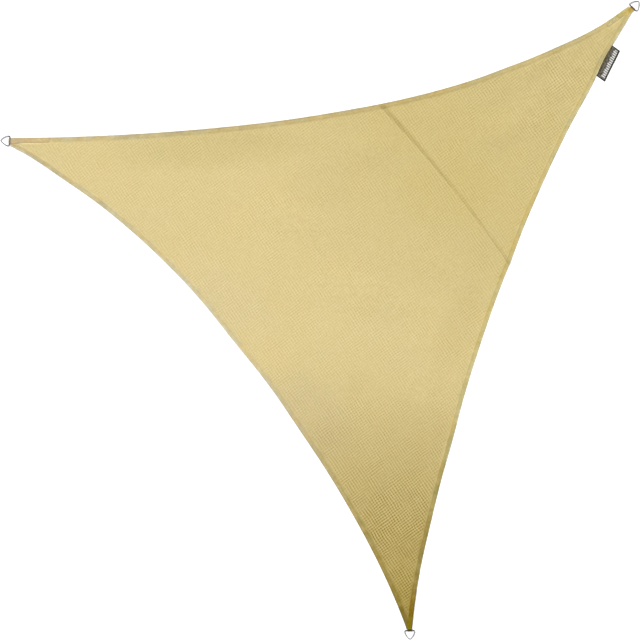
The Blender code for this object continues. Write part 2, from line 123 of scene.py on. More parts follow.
# pleats that run in to each corner: bearing from straight inwards, start and
# end distance from the bar, half width, height
PLEATS = {
    "A": [dict(turn=6.0, r0=36.0, r1=210.0, wide=7.0, high=1.6),
          dict(turn=-8.0, r0=40.0, r1=170.0, wide=7.0, high=1.3),
          dict(turn=16.0, r0=60.0, r1=300.0, wide=10.0, high=1.0)],
    "B": [dict(turn=3.0, r0=26.0, r1=200.0, wide=6.0, high=3.6),
          dict(turn=9.5, r0=30.0, r1=150.0, wide=6.0, high=3.0),
          dict(turn=-4.5, r0=34.0, r1=260.0, wide=7.0, high=2.6),
          dict(turn=13.0, r0=70.0, r1=230.0, wide=8.0, high=1.8),
          dict(turn=0.0, r0=120.0, r1=330.0, wide=9.0, high=1.6)],
    "C": [dict(turn=1.0, r0=26.0, r1=190.0, wide=5.0, high=2.6),
          dict(turn=7.5, r0=24.0, r1=260.0, wide=6.0, high=2.4),
          dict(turn=-5.0, r0=60.0, r1=330.0, wide=7.0, high=1.5),
          dict(turn=4.0, r0=150.0, r1=420.0, wide=9.0, high=1.1)],
}


# ============================================================ shape functions
def direction(deg):
    a = math.radians(deg)
    return np.array([math.cos(a), math.sin(a)])


def smooth(x, lo, hi):
    s = np.clip((np.asarray(x, float) - lo) / (hi - lo), 0.0, 1.0)
    return s * s * (3.0 - 2.0 * s)


def corner_frame(name):
    c = CORNERS[name]
    e = direction(c["out"])
    return np.array([c["x"], c["y"]]), e, np.array([-e[1], e[0]])


def tip_point(name, side):
    bar, e, n = corner_frame(name)
    row = CORNERS[name]
    sign = 1.0 if EDGES[side]["start"] == name else -1.0
    return bar - TIP_BACK * e + (row["slide"] - sign * 0.5 * row["tip"]) * n


def edge_at(edge, t):
    row = EDGES[edge]
    p0, p1 = tip_point(row["start"], edge), tip_point(row["end"], edge)
    run = p1 - p0
    u = run / np.linalg.norm(run)
    inward = np.array([u[1], -u[0]])
    w = 2.0 * t - 1.0
    bow = 4.0 * t * (1.0 - t) * (row["mid"] + row["skew"] * w
                                 + row["full"] * w * w + row["twist"] * w ** 3)
    hold = smooth(np.minimum(t, 1.0 - t), 0.0, 0.03)
    for dent in DENTS[edge]:
        bow = bow + hold * dent["deep"] * np.exp(-((t - dent["at"]) / dent["wide"]) ** 2)
    return p0 + run * t[:, None] + inward * bow[:, None]


def edge_points(edge, t, inset=0.0):
    """Points at shares t of an edge, moved inwards by inset."""
    t = np.atleast_1d(np.asarray(t, float))
    q = edge_at(edge, t + 1e-4) - edge_at(edge, t - 1e-4)
    q /= np.linalg.norm(q, axis=1)[:, None]
    return edge_at(edge, t) + np.asarray(inset, float).reshape(-1, 1) * np.stack([q[:, 1], -q[:, 0]], 1)


def edge_point(edge, t, inset=0.0):
    return edge_points(edge, [t], inset)[0]


SHARES = np.linspace(-0.004, 1.004, 1400)
LINES = {e: edge_at(e, SHARES) for e in EDGES}
LENGTHS = {e: float(np.linalg.norm(np.diff(edge_at(e, np.linspace(0, 1, 800)), axis=0), axis=1).sum())
           for e in EDGES}


def near_edge(P, edge):
    """Distance from each point to an edge's curve, and the share there."""
    L = LINES[edge]
    ll = (L * L).sum(1)
    dist, share = np.empty(len(P)), np.empty(len(P))
    for k in range(0, len(P), 4000):
        p = P[k:k + 4000]
        i = (ll[None] - 2.0 * (p @ L.T)).argmin(1)
        best, where = np.full(len(p), 1e18), np.zeros(len(p))
        for j in (np.clip(i - 1, 0, len(L) - 2), np.clip(i, 0, len(L) - 2)):
            a, ab = L[j], L[j + 1] - L[j]
            s = np.clip(((p - a) * ab).sum(1) / (ab * ab).sum(1), 0.0, 1.0)
            d = ((a + ab * s[:, None] - p) ** 2).sum(1)
            hit = d < best
            best[hit] = d[hit]
            where[hit] = (SHARES[j] + s * (SHARES[1] - SHARES[0]))[hit]
        dist[k:k + 4000], share[k:k + 4000] = np.sqrt(best), where
    return dist, share


def near_edges(P):
    """Distances to the edges AB, BC, CA as columns, and shares."""
    got = [near_edge(P, e) for e in ("AB", "BC", "CA")]
    return np.stack([g[0] for g in got], 1), np.stack([g[1] for g in got], 1)


def seam_y(x):
    w = (x - SEAM_X) / SEAM_HALF
    return SEAM_Y + SEAM_BOW * (1.0 - w * w)


def bisect(f, lo, hi, steps=46):
    flo = f(lo)
    for _ in range(steps):
        mid = 0.5 * (lo + hi)
        fm = f(mid)
        if (fm > 0) == (flo > 0):
            lo, flo = mid, fm
        else:
            hi = mid
    return 0.5 * (lo + hi)


def seam_cross(edge, inset, off):
    def f(t):
        p = edge_point(edge, t, inset)
        return p[1] - seam_y(p[0]) - off
    return bisect(f, 0.15, 0.9)


def hem_corner(edge, other, inset, at_end):
    def f(t):
        return near_edge(edge_points(edge, [t], inset), other)[0][0] - inset
    return bisect(f, 0.5, 1.0) if at_end else bisect(f, 0.5, 0.0)


OUTLINE = np.concatenate([edge_at(e, np.linspace(0.0, 1.0, 300)) for e in ("AB", "BC", "CA")])


def inside(P):
    a, b = OUTLINE, np.roll(OUTLINE, -1, axis=0)
    out = np.zeros(len(P), bool)
    for k in range(0, len(P), 4000):
        p = P[k:k + 4000]
        cross = (a[None, :, 1] > p[:, 1:2]) != (b[None, :, 1] > p[:, 1:2])
        with np.errstate(divide="ignore", invalid="ignore"):
            x = a[:, 0] + (p[:, 1:2] - a[:, 1]) * (b[:, 0] - a[:, 0]) / (b[:, 1] - a[:, 1])
        out[k:k + 4000] = (cross & (p[:, 0:1] < x)).sum(1) % 2 == 1
    return out


TAB_T_AT = bisect(lambda t: edge_point("BC", t)[1] - TAB_Y, 0.0, 0.5)


def value_noise(P, size, seed):
    """Smooth noise from -1 to 1 with cells of the given size."""
    q = np.asarray(P, float) / size
    i = np.floor(q).astype(np.int64)
    f = q - i
    f = f * f * (3.0 - 2.0 * f)

    def lattice(a, b):
        h = (a * 374761393 + b * 668265263 + seed * 974634777) & 0xFFFFFFFF
        h = ((h ^ (h >> 13)) * 1274126177) & 0xFFFFFFFF
        h ^= h >> 16
        return (h & 0xFFFF) / 32767.5 - 1.0

    v00, v10 = lattice(i[:, 0], i[:, 1]), lattice(i[:, 0] + 1, i[:, 1])
    v01, v11 = lattice(i[:, 0], i[:, 1] + 1), lattice(i[:, 0] + 1, i[:, 1] + 1)
    return ((v00 * (1 - f[:, 0]) + v10 * f[:, 0]) * (1 - f[:, 1])
            + (v01 * (1 - f[:, 0]) + v11 * f[:, 0]) * f[:, 1])


def lift(P, D):
    """Height of the cloth's underside above the surface."""
    s = P[:, 1] - seam_y(P[:, 0])
    z = np.zeros(len(P))
    for w in SWELLS:
        d = P - np.array([w["x"], w["y"]])
        u = direction(w["turn"])
        a = np.clip((d @ u) / w["long"], -1.0, 1.0)
        b = np.clip((d @ np.array([-u[1], u[0]])) / w["wide"], -1.0, 1.0)
        z += w["high"] * (np.cos(0.5 * math.pi * a) * np.cos(0.5 * math.pi * b)) ** 2
    z *= smooth(np.abs(s), 50.0, 130.0)
    for name in CORNERS:
        bar = corner_frame(name)[0]
        r = np.linalg.norm(P - bar, axis=1)
        leg = STRAPS[name]["leg"]
        near = 1.0 - smooth(r, leg + 70.0, leg + 200.0)
        z = z * (1.0 - near) + near * (STRAP_T + GAP)
    r = np.linalg.norm(P - edge_point("BC", TAB_T_AT), axis=1)
    near = 1.0 - smooth(r, 0.5 * TAB_LONG + 95.0, 0.5 * TAB_LONG + 200.0)
    near *= 1.0 - smooth(D[:, 1], HEM_W + 3.0, HEM_W + 90.0)
    return np.maximum(z, near * (TAB_T + GAP))


def lap_share(P):
    """1 over the lapped seam, going down to 0 on the upper panel."""
    s = P[:, 1] - seam_y(P[:, 0])
    return 1.0 - np.clip((s - 0.5 * LAP_W - 1.5) / LAP_RAMP, 0.0, 1.0)


def thick(P, D):
    """Thickness at each point: rounded hem with its two sewing rows, cloth."""
    d = D.min(1)
    t = HEM_T * (0.50 + 0.50 * np.sqrt(np.clip(1.0 - (1.0 - np.clip(d / 2.6, 0, 1)) ** 2, 0, 1)))
    t += 0.22 * np.exp(-((d - 13.0) / 5.0) ** 2)
    t -= 0.45 * np.exp(-((d - 5.0) / 1.5) ** 2) + 0.5 * np.exp(-((d - 21.5) / 1.5) ** 2)
    down = smooth(d, HEM_W - 3.5, HEM_W + 4.5)
    return t * (1.0 - down) + CLOTH_T * down


def knit_slip(P):
    """How far each of the knit's waves is out of step, in radians."""
    return (1.0 * value_noise(P, 36.0, 15) + 0.6 * value_noise(P, 19.0, 16),
            1.0 * value_noise(P, 36.0, 17) + 0.6 * value_noise(P, 19.0, 18))


def phases(P):
    out = []
    for k, w, slip in zip(KNIT, DRIFT, knit_slip(P)):
        u = direction(k["turn"]) * (2.0 * math.pi / k["pitch"])
        out.append(P @ u + slip + w["high"] * np.sin(P[:, 0] * w["kx"] + P[:, 1] * w["ky"] + w["start"]))
    return out


def knit_lead(P):
    """Strength of the knit's two waves: in patches one leads, or both fade."""
    lead = value_noise(P, 58.0, 11) + 0.7 * value_noise(P, 26.0, 12)
    show = value_noise(P, 83.0, 13) + 0.6 * value_noise(P, 31.0, 14)
    return (np.clip(0.86 + 0.50 * lead + 0.26 * show, 0.04, 1.9),
            np.clip(0.86 - 0.50 * lead + 0.26 * show, 0.04, 1.9))


def strap_cover(P, name):
    """1 where the top leg of a corner's webbing lies over the cloth."""
    bar, e, n = corner_frame(name)
    row = STRAPS[name]
    d, _ = near_edge(P, row["top"])
    r = np.linalg.norm(P - bar, axis=1)
    side = (1.0 - smooth(d, 27.0, 34.0)) * (1.0 - smooth(r, row["leg"] + 6.0, row["leg"] + 20.0))
    tip = 1.0 - smooth(r, 30.0, 60.0)
    return np.maximum(side, tip)


def pleats(P):
    """Extra height where the cloth is gathered towards the corners."""
    z = np.zeros(len(P))
    for name, rows in PLEATS.items():
        bar, e, n = corner_frame(name)
        d = P - bar
        r = np.linalg.norm(d, axis=1)
        pick = r < 560.0
        if not pick.any():
            continue
        q, rr = d[pick], r[pick]
        add = np.zeros(len(q))
        for w in rows:
            a = math.radians(w["turn"])
            u = -e * math.cos(a) + n * math.sin(a)
            along = q @ u
            across = q @ np.array([-u[1], u[0]]) + 3.5 * np.sin(along / 31.0 + w["turn"])
            wide = w["wide"] * (0.75 + 0.0032 * np.clip(along, 0, 400))
            run = smooth(along, w["r0"], w["r0"] + 26.0) * (1.0 - smooth(along, 0.45 * w["r1"], w["r1"]))
            add = np.maximum(add, w["high"] * run * np.exp(-(across / wide) ** 2))
        cover = strap_cover(P[pick], name)
        z[pick] += add * (1.0 - cover)
    return z


def creases(P):
    z = np.zeros(len(P))
    for w in CREASES:
        a = np.array([w["x0"], w["y0"]])
        run = np.array([w["x1"], w["y1"]]) - a
        length = np.linalg.norm(run)
        u = run / length
        d = P - a
        s = (d @ u) / length
        c = (d @ np.array([-u[1], u[0]])) + 9.0 * np.sin(3.0 * s + w["x0"])
        wide = w["wide"] * (0.8 + 0.5 * np.clip(s, 0, 1))
        z += w["high"] * np.exp(-(c / wide) ** 2) * np.sin(math.pi * np.clip(s, 0, 1)) ** 1.5
    return z


def pucker(P, D, T):
    """Small unevenness of the hem along its length."""
    k = D.argmin(1)
    rows = np.arange(len(P))
    lengths = np.array([LENGTHS[e] for e in ("AB", "BC", "CA")])
    along = T[rows, k] * lengths[k] + 5000.0 * k
    d = D[rows, k]
    line = np.stack([along, np.zeros(len(P))], 1)
    wave = (0.22 * value_noise(line, 17.0, 3) + 0.26 * value_noise(line, 46.0, 5)
            + 0.30 * value_noise(line + np.stack([0 * d, d], 1), 12.0, 7))
    on_hem = 1.0 - smooth(d, HEM_W + 2.0, HEM_W + 26.0)
    return wave * on_hem


def top_extra(P, D, T):
    """What the visible face has over the plain sheet: knit, creases, puckers."""
    d = D.min(1)
    a1, a2 = phases(P)
    one, two = knit_lead(P)
    knit = RELIEF * 0.5 * (one * np.cos(a1) + two * np.cos(a2)) * smooth(d, HEM_W + 3.0, HEM_W + 12.0)
    cover = np.zeros(len(P))
    for name in CORNERS:
        bar = corner_frame(name)[0]
        pick = np.linalg.norm(P - bar, axis=1) < 420.0
        if pick.any():
            cover[pick] = np.maximum(cover[pick], strap_cover(P[pick], name))
    z = knit + pleats(P) + creases(P) * smooth(d, 20.0, 60.0)
    puck = pucker(P, D, T)
    return z + np.where(cover > 0.0, np.minimum(puck, 0.0) * (1.0 - cover), puck) * 0.9


def main_heights(P):
    D, T = near_edges(P)
    low = lift(P, D)
    # the main panel stays flat where the other one lies over it
    s = P[:, 1] - seam_y(P[:, 0])
    under = smooth(s, -0.5 * LAP_W - 12.0, -0.5 * LAP_W - 2.0)
    extra = top_extra(P, D, T)
    extra = extra * (1.0 - under) + np.minimum(extra, 0.0) * under
    return low, low + thick(P, D) + extra, D, T


def corner_heights(P):
    D, T = near_edges(P)
    t = thick(P, D)
    share = lap_share(P)
    low = lift(P, D) + share * (t + GAP)
    s = P[:, 1] - seam_y(P[:, 0])
    # two rows of sewing pull the lap down, and its cut edge is thin
    row = np.exp(-((s + 4.5) / 1.6) ** 2) + np.exp(-((s - 4.5) / 1.6) ** 2)
    extra = top_extra(P, D, T) - 0.3 * row
    return low, low + t + extra, D, T


# ==================================================================== meshing
def run_shares(edge, t0, t1, inset, step):
    a, b = edge_point(edge, t0, inset), edge_point(edge, t1, inset)
    n = max(2, int(math.ceil(np.linalg.norm(b - a) / step)))
    return edge_points(edge, np.linspace(t0, t1, n + 1), inset)


INSETS_TOP = (1.0, 2.6, 5.0, 7.4, 12.0, 17.0, 21.5, 24.0, 26.5, 29.0, 32.5)
INSETS_LOW = (HEM_W, HEM_W + HEM_STEP)


def seam_line(off, step, insets):
    """Points along the line off above the seam, from edge AB to edge BC."""
    every = (0.0,) + tuple(insets)
    left = np.array([edge_point("AB", seam_cross("AB", d, off), d) for d in every])
    right = np.array([edge_point("BC", seam_cross("BC", d, off), d) for d in every[::-1]])
    n = max(2, int(math.ceil((right[0, 0] - left[-1, 0]) / step)))
    x = np.linspace(left[-1, 0], right[0, 0], n + 1)[1:-1]
    return np.concatenate([left, np.stack([x, seam_y(x) + off], 1), right])


def lattice(box, keep):
    """Points at half pitches of the knit, where keep holds."""
    K = np.array([direction(k["turn"]) * (2.0 / k["pitch"]) for k in KNIT])
    Ki = np.linalg.inv(K)
    x0, y0, x1, y1 = box
    ends = np.array([[x0, y0], [x1, y0], [x1, y1], [x0, y1]]) @ K.T
    lo, hi = np.floor(ends.min(0)).astype(int) - 2, np.ceil(ends.max(0)).astype(int) + 2
    I, J = np.meshgrid(np.arange(lo[0], hi[0] + 1), np.arange(lo[1], hi[1] + 1))
    target = np.stack([I.ravel(), J.ravel()], 1).astype(float)
    P = target @ Ki.T
    for _ in range(4):
        drift = np.stack([w["high"] * np.sin(P[:, 0] * w["kx"] + P[:, 1] * w["ky"] + w["start"])
                          for w in DRIFT], 1) / math.pi
        P = (target - drift) @ Ki.T
    P = P[(P[:, 0] > x0) & (P[:, 0] < x1) & (P[:, 1] > y0) & (P[:, 1] < y1)]
    return P[keep(P)]


def plain_grid(box, step, keep):
    x0, y0, x1, y1 = box
    I, J = np.meshgrid(np.arange(x0, x1, step), np.arange(y0, y1, step * 0.866))
    I = I + (np.arange(J.shape[0]) % 2 * 0.5 * step)[:, None]
    P = np.stack([I.ravel(), J.ravel()], 1)
    return P[keep(P)]


def triangulate(outline, lines, inner):
    verts, edges = [], []

    def add(points, closed):
        k, n = len(verts), len(points)
        verts.extend((float(p[0]), float(p[1])) for p in points)
        edges.extend((k + i, k + (i + 1) % n) for i in range(n if closed else n - 1))

    add(outline, True)
    for line in lines:
        add(line, False)
    verts.extend((float(p[0]), float(p[1])) for p in inner)
    got = delaunay_2d_cdt(verts, edges, [], 1, 1e-3)
    P = np.array([(v[0], v[1]) for v in got[0]])
    F = np.array([tuple(f) for f in got[2]], np.int64)
    a, b, c = P[F[:, 0]], P[F[:, 1]], P[F[:, 2]]
    turn = (b[:, 0] - a[:, 0]) * (c[:, 1] - a[:, 1]) - (b[:, 1] - a[:, 1]) * (c[:, 0] - a[:, 0])
    F[turn < 0] = F[turn < 0][:, ::-1]
    return P, F


def boundary_edges(F):
    E = np.concatenate([F[:, [0, 1]], F[:, [1, 2]], F[:, [2, 0]]])
    key = {(int(a), int(b)) for a, b in E}
    return [(a, b) for a, b in key if (b, a) not in key]


def two_faced(top, low, heights):
    """Closed sheet: a fine upper face and a coarser lower one, same outline."""
    (P, F), (Q, G) = top, low
    zt = heights(P)[1]
    zl = heights(Q)[0]
    n = len(P)
    verts = np.concatenate([np.column_stack([P, zt]), np.column_stack([Q, zl])])
    faces = [F, G[:, ::-1] + n]
    # join the outlines
    place = {(round(x, 3), round(y, 3)): i for i, (x, y) in enumerate(Q)}
    walls = []
    for a, b in boundary_edges(F):
        c = place[(round(P[a, 0], 3), round(P[a, 1], 3))] + n
        d = place[(round(P[b, 0], 3), round(P[b, 1], 3))] + n
        walls.append((a, c, d))
        walls.append((a, d, b))
    faces.append(np.array(walls))
    return verts, np.concatenate(faces)


STEP = 9.0


def main_outline():
    off = 0.5 * LAP_W
    a0, b0 = seam_cross("AB", 0.0, off), seam_cross("BC", 0.0, off)
    return np.concatenate([
        run_shares("AB", 0.0, a0, 0.0, STEP)[:-1],
        seam_line(off, STEP, INSETS_TOP)[:-1],
        run_shares("BC", b0, 1.0, 0.0, STEP),
        run_shares("CA", 0.0, 1.0, 0.0, STEP)])


def main_lines(insets):
    off = 0.5 * LAP_W
    out = []
    for d in insets:
        out.append(np.concatenate([
            run_shares("BC", seam_cross("BC", d, off), hem_corner("BC", "CA", d, True), d, STEP)[:-1],
            run_shares("CA", hem_corner("CA", "BC", d, False), hem_corner("CA", "AB", d, True), d, STEP),
            run_shares("AB", hem_corner("AB", "CA", d, False), seam_cross("AB", d, off), d, STEP)[1:]]))
    return out


def corner_outline():
    off = -0.5 * LAP_W
    a0, b0 = seam_cross("AB", 0.0, off), seam_cross("BC", 0.0, off)
    return np.concatenate([
        run_shares("AB", a0, 1.0, 0.0, STEP),
        run_shares("BC", 0.0, b0, 0.0, STEP)[:-1],
        seam_line(off, STEP, INSETS_TOP)[::-1][:-1]])


def corner_lines(insets):
    off = -0.5 * LAP_W
    out = []
    for d in insets:
        out.append(np.concatenate([
            run_shares("AB", seam_cross("AB", d, off), hem_corner("AB", "BC", d, True), d, STEP)[:-1],
            run_shares("BC", hem_corner("BC", "AB", d, False), seam_cross("BC", d, off), d, STEP)]))
    return out


def hem_min(P):
    return near_edges(P)[0].min(1)


def main_panel():
    off = 0.5 * LAP_W
    box = (-1700.0, -1560.0, 1700.0, SEAM_Y + SEAM_BOW + off)

    def keep(margin, back):
        def f(P):
            ok = inside(P) & (P[:, 1] < seam_y(P[:, 0]) + off - back)
            ok[ok] = hem_min(P[ok]) > margin
            return ok
        return f

    outline = main_outline()
    top = triangulate(outline, main_lines(INSETS_TOP), lattice(box, keep(36.0, 4.0)))
    low = triangulate(outline, main_lines(INSETS_LOW), plain_grid(box, 30.0, keep(42.0, 16.0)))
    return two_faced(top, low, main_heights)


def corner_panel():
    off = -0.5 * LAP_W
    box = (-800.0, SEAM_Y - 20.0, 700.0, 1600.0)
    ramp = 0.5 * LAP_W + 1.5

    def keep(margin, back):
        def f(P):
            ok = inside(P) & (P[:, 1] > seam_y(P[:, 0]) + back)
            ok[ok] = hem_min(P[ok]) > margin
            return ok
        return f

    def rows(offs, insets):
        return [seam_line(o, STEP, insets)[1:-1] for o in offs]

    outline = corner_outline()
    top = triangulate(outline,
                      corner_lines(INSETS_TOP)
                      + rows((-7.0, -4.5, -2.0, 2.0, 4.5, 7.0, ramp, ramp + LAP_RAMP), INSETS_TOP),
                      lattice(box, keep(36.0, ramp + 5.0)))
    low = triangulate(outline,
                      corner_lines(INSETS_LOW) + rows((ramp, ramp + LAP_RAMP), INSETS_LOW),
                      plain_grid(box, 30.0, keep(42.0, ramp + LAP_RAMP + 10.0)))
    return two_faced(top, low, corner_heights)


# ===================================================================== colour
# cloth colours in linear light, as they show on a lit white floor: the pale one holds painted light, the deep one
# painted shade
CLOTH_PAINTED_LIT = np.array([0.733, 0.598, 0.282])
CLOTH_MID = np.array([0.653, 0.525, 0.222])
CLOTH_PAINTED_SHADE = np.array([0.375, 0.272, 0.056])
# painted shade deepens the cloth towards corner C: distance from the ring, and how much
PAINTED_SHADE_TO_C = [dict(r=180.0, part=0.92), dict(r=380.0, part=0.76), dict(r=560.0, part=0.69),
          dict(r=750.0, part=0.56), dict(r=950.0, part=0.43), dict(r=1140.0, part=0.30),
          dict(r=1310.0, part=0.13), dict(r=1500.0, part=0.055), dict(r=1700.0, part=0.0)]
# broad soft areas where the cloth lies a little darker or lighter: painted shade and light of broad low folds, and a
# few changes of the cloth's own tone
SHADE_AND_TONE_AREAS = [
    dict(x=-1040.0, y=-758.0, turn=54.0, long=590.0, wide=132.0, tint=(0.925, 0.925, 0.87)),
    dict(x=-10.0, y=180.0, turn=55.0, long=330.0, wide=250.0, tint=(1.0, 0.995, 0.93)),
    dict(x=-170.0, y=1130.0, turn=95.0, long=520.0, wide=190.0, tint=(0.995, 1.0, 1.035)),
    dict(x=470.0, y=-1235.0, turn=2.0, long=330.0, wide=190.0, tint=(0.94, 0.94, 1.0)),
    dict(x=-330.0, y=-1190.0, turn=10.0, long=420.0, wide=150.0, tint=(1.0, 1.0, 1.055)),
    dict(x=620.0, y=-300.0, turn=-66.0, long=260.0, wide=110.0, tint=(0.955, 0.95, 0.935)),
    dict(x=-470.0, y=-420.0, turn=45.0, long=240.0, wide=120.0, tint=(0.985, 0.985, 0.985)),
    dict(x=-369.0, y=287.0, turn=50.8, long=440.0, wide=180.0, tint=(1.0, 0.99, 0.955)),
    dict(x=561.0, y=-957.0, turn=0.0, long=140.0, wide=130.0, tint=(0.975, 0.975, 0.965)),
]
# the weave changes only how light the cloth is, so blue moves most
KNIT_TINT = np.array([0.86, 1.0, 1.65])

# the hem against the cloth beside it, at the start, a third, two thirds and
# the end of each edge: tints of the band and of its outer fold, and how far
# in the darker band reaches, with painted shade where the hem steps down
HEMS = {
    "AB": dict(band=[(0.84, 0.84, 0.90), (0.86, 0.85, 0.86), (0.94, 0.915, 0.86), (0.97, 0.96, 0.94)],
               fold=[(1.00, 1.04, 1.18), (0.93, 0.97, 1.18), (0.985, 1.03, 1.26), (0.97, 1.035, 1.26)],
               reach=[22.0, 25.0, 27.0, 25.0]),
    "BC": dict(band=[(0.95, 0.97, 0.97), (0.94, 0.94, 0.85), (0.87, 0.88, 0.79), (0.68, 0.67, 0.48)],
               fold=[(1.19, 1.26, 1.58), (1.17, 1.22, 1.47), (1.15, 1.22, 1.44), (1.08, 1.12, 1.04)],
               reach=[30.0, 27.0, 30.0, 27.0]),
    "CA": dict(band=[(0.74, 0.72, 0.43), (0.92, 0.93, 0.98), (0.93, 0.97, 1.10), (0.80, 0.79, 0.80)],
               fold=[(1.06, 1.04, 1.05), (1.05, 1.12, 1.43), (1.08, 1.13, 1.34), (1.11, 1.15, 1.36)],
               reach=[28.0, 31.0, 29.0, 23.0]),
}
# the outer sewing row draws the hem in, and painted shade in that groove shows as a darker line there:
# how much, at the same four places
ROW_GROOVE_SHADE = {"AB": [0.04, 0.13, 0.14, 0.08], "BC": [0.0, 0.02, 0.05, 0.06], "CA": [0.03, 0.02, 0.03, 0.03]}
# places along the hem that stand out: share of the edge and width of it, how
# far in and how broad, in mm; the light ones 25 to 28 mm in beside the straps are painted light
HEM_SPOTS = [
    dict(edge="BC", at=0.100, wide=0.030, inset=21.0, broad=9.0, tint=(0.89, 0.91, 0.92)),
    dict(edge="BC", at=0.100, wide=0.032, inset=6.0, broad=4.0, tint=(1.10, 1.12, 1.22)),
    dict(edge="BC", at=0.735, wide=0.050, inset=26.0, broad=10.0, tint=(1.12, 1.11, 1.17)),
    # painted light against the shade beside the strap at C
    dict(edge="BC", at=0.970, wide=0.020, inset=25.0, broad=8.0, tint=(1.24, 1.18, 1.03)),
    dict(edge="BC", at=0.020, wide=0.020, inset=4.0, broad=5.0, tint=(1.09, 1.08, 1.12)),
    # painted light against the shade beside the straps at A and B
    dict(edge="AB", at=0.034, wide=0.030, inset=28.0, broad=6.0, tint=(1.32, 1.27, 1.32)),
    dict(edge="AB", at=0.968, wide=0.028, inset=28.0, broad=8.0, tint=(1.24, 1.23, 1.20)),
    dict(edge="CA", at=0.215, wide=0.040, inset=6.0, broad=6.0, tint=(1.06, 1.07, 1.12)),
    dict(edge="CA", at=0.928, wide=0.020, inset=4.0, broad=5.0, tint=(1.09, 1.09, 1.16)),
    dict(edge="BC", at=0.215, wide=0.090, inset=6.0, broad=5.0, tint=(1.03, 1.05, 1.16)),
    dict(edge="BC", at=0.475, wide=0.035, inset=4.0, broad=5.0, tint=(1.08, 1.06, 1.12)),
    dict(edge="BC", at=0.725, wide=0.035, inset=5.0, broad=5.0, tint=(1.00, 1.05, 1.15)),
    dict(edge="BC", at=0.930, wide=0.030, inset=1.5, broad=3.5, tint=(1.13, 1.13, 1.22)),
    dict(edge="AB", at=0.300, wide=0.050, inset=3.0, broad=4.0, tint=(0.96, 0.965, 0.93)),
    dict(edge="AB", at=0.465, wide=0.040, inset=5.0, broad=6.0, tint=(0.94, 0.945, 0.965)),
    dict(edge="AB", at=0.875, wide=0.025, inset=3.0, broad=4.5, tint=(0.93, 0.93, 0.92)),
    dict(edge="BC", at=0.425, wide=0.035, inset=22.0, broad=8.0, tint=(0.985, 0.96, 0.92)),
    dict(edge="CA", at=0.545, wide=0.040, inset=6.0, broad=5.0, tint=(1.06, 1.06, 1.15)),
    dict(edge="CA", at=0.695, wide=0.045, inset=4.0, broad=5.0, tint=(1.05, 1.05, 1.12)),
    dict(edge="AB", at=0.110, wide=0.045, inset=24.0, broad=6.0, tint=(1.07, 1.06, 1.06)),
    dict(edge="AB", at=0.167, wide=0.025, inset=4.0, broad=4.5, tint=(1.16, 1.17, 1.32)),
    dict(edge="CA", at=0.190, wide=0.060, inset=8.0, broad=7.0, tint=(1.09, 1.09, 1.22)),
    dict(edge="CA", at=0.970, wide=0.028, inset=4.0, broad=6.0, tint=(1.10, 1.10, 1.18)),
]


def along_edge(rows, k, share):
    """Value of a hem table at each point: k is the edge's place, share along it."""
    stops = np.array([0.0, 1.0 / 3.0, 2.0 / 3.0, 1.0])
    table = [np.array(rows(HEMS[e]), float).reshape(4, -1) for e in ("AB", "BC", "CA")]
    out = np.zeros((len(k), table[0].shape[1]))
    for i, values in enumerate(table):
        pick = k == i
        for c in range(values.shape[1]):
            out[pick, c] = np.interp(share[pick], stops, values[:, c])
    return out


def cloth_tone(P):
    """Slow change of the cloth's colour over the sail: painted light away from B, painted shade towards corner C and
    over broad folds, with its mottling.
    """
    to_b = np.linalg.norm(P - corner_frame("B")[0], axis=1)
    to_c = np.linalg.norm(P - corner_frame("C")[0], axis=1)
    # paler away from B: painted light
    pale = smooth(to_b, 1300.0, 2500.0)[:, None]
    colour = CLOTH_MID * (1.0 - pale) + CLOTH_PAINTED_LIT * pale
    # darker towards corner C: painted shade
    deep = np.interp(to_c, [r["r"] for r in PAINTED_SHADE_TO_C], [r["part"] for r in PAINTED_SHADE_TO_C])[:, None]
    colour = colour * (1.0 - deep) + CLOTH_PAINTED_SHADE * deep
    # painted shade deepest at the very tip of C
    last = (1.0 - smooth(to_c, 20.0, 170.0))[:, None]
    colour = colour * (1.0 - 0.30 * last)
    # painted fold shade and light, and a few tone changes
    for w in SHADE_AND_TONE_AREAS:
        q = P - np.array([w["x"], w["y"]])
        u = direction(w["turn"])
        a = smooth(np.hypot(q @ u / w["long"], q @ np.array([-u[1], u[0]]) / w["wide"]), 1.25, 0.35)
        colour = colour * (1.0 - a[:, None] * (1.0 - np.array(w["tint"])))
    # mottling, from a few loops across to a hand's width, more at B and C
    more = 1.0 + 1.5 * (1.0 - smooth(to_b, 500.0, 1100.0)) + 2.0 * (1.0 - smooth(to_c, 600.0, 1100.0))
    cloud = more * (0.018 * value_noise(P, 16.0, 26) + 0.008 * value_noise(P, 33.0, 21)
                    + 0.006 * value_noise(P, 74.0, 22)) + 0.005 * value_noise(P, 210.0, 23)
    warm = 0.006 * value_noise(P, 90.0, 24) + 0.006 * value_noise(P, 310.0, 25)
    return colour * (1.0 + cloud[:, None] * KNIT_TINT + warm[:, None] * np.array([1.0, 0.0, -2.5]))


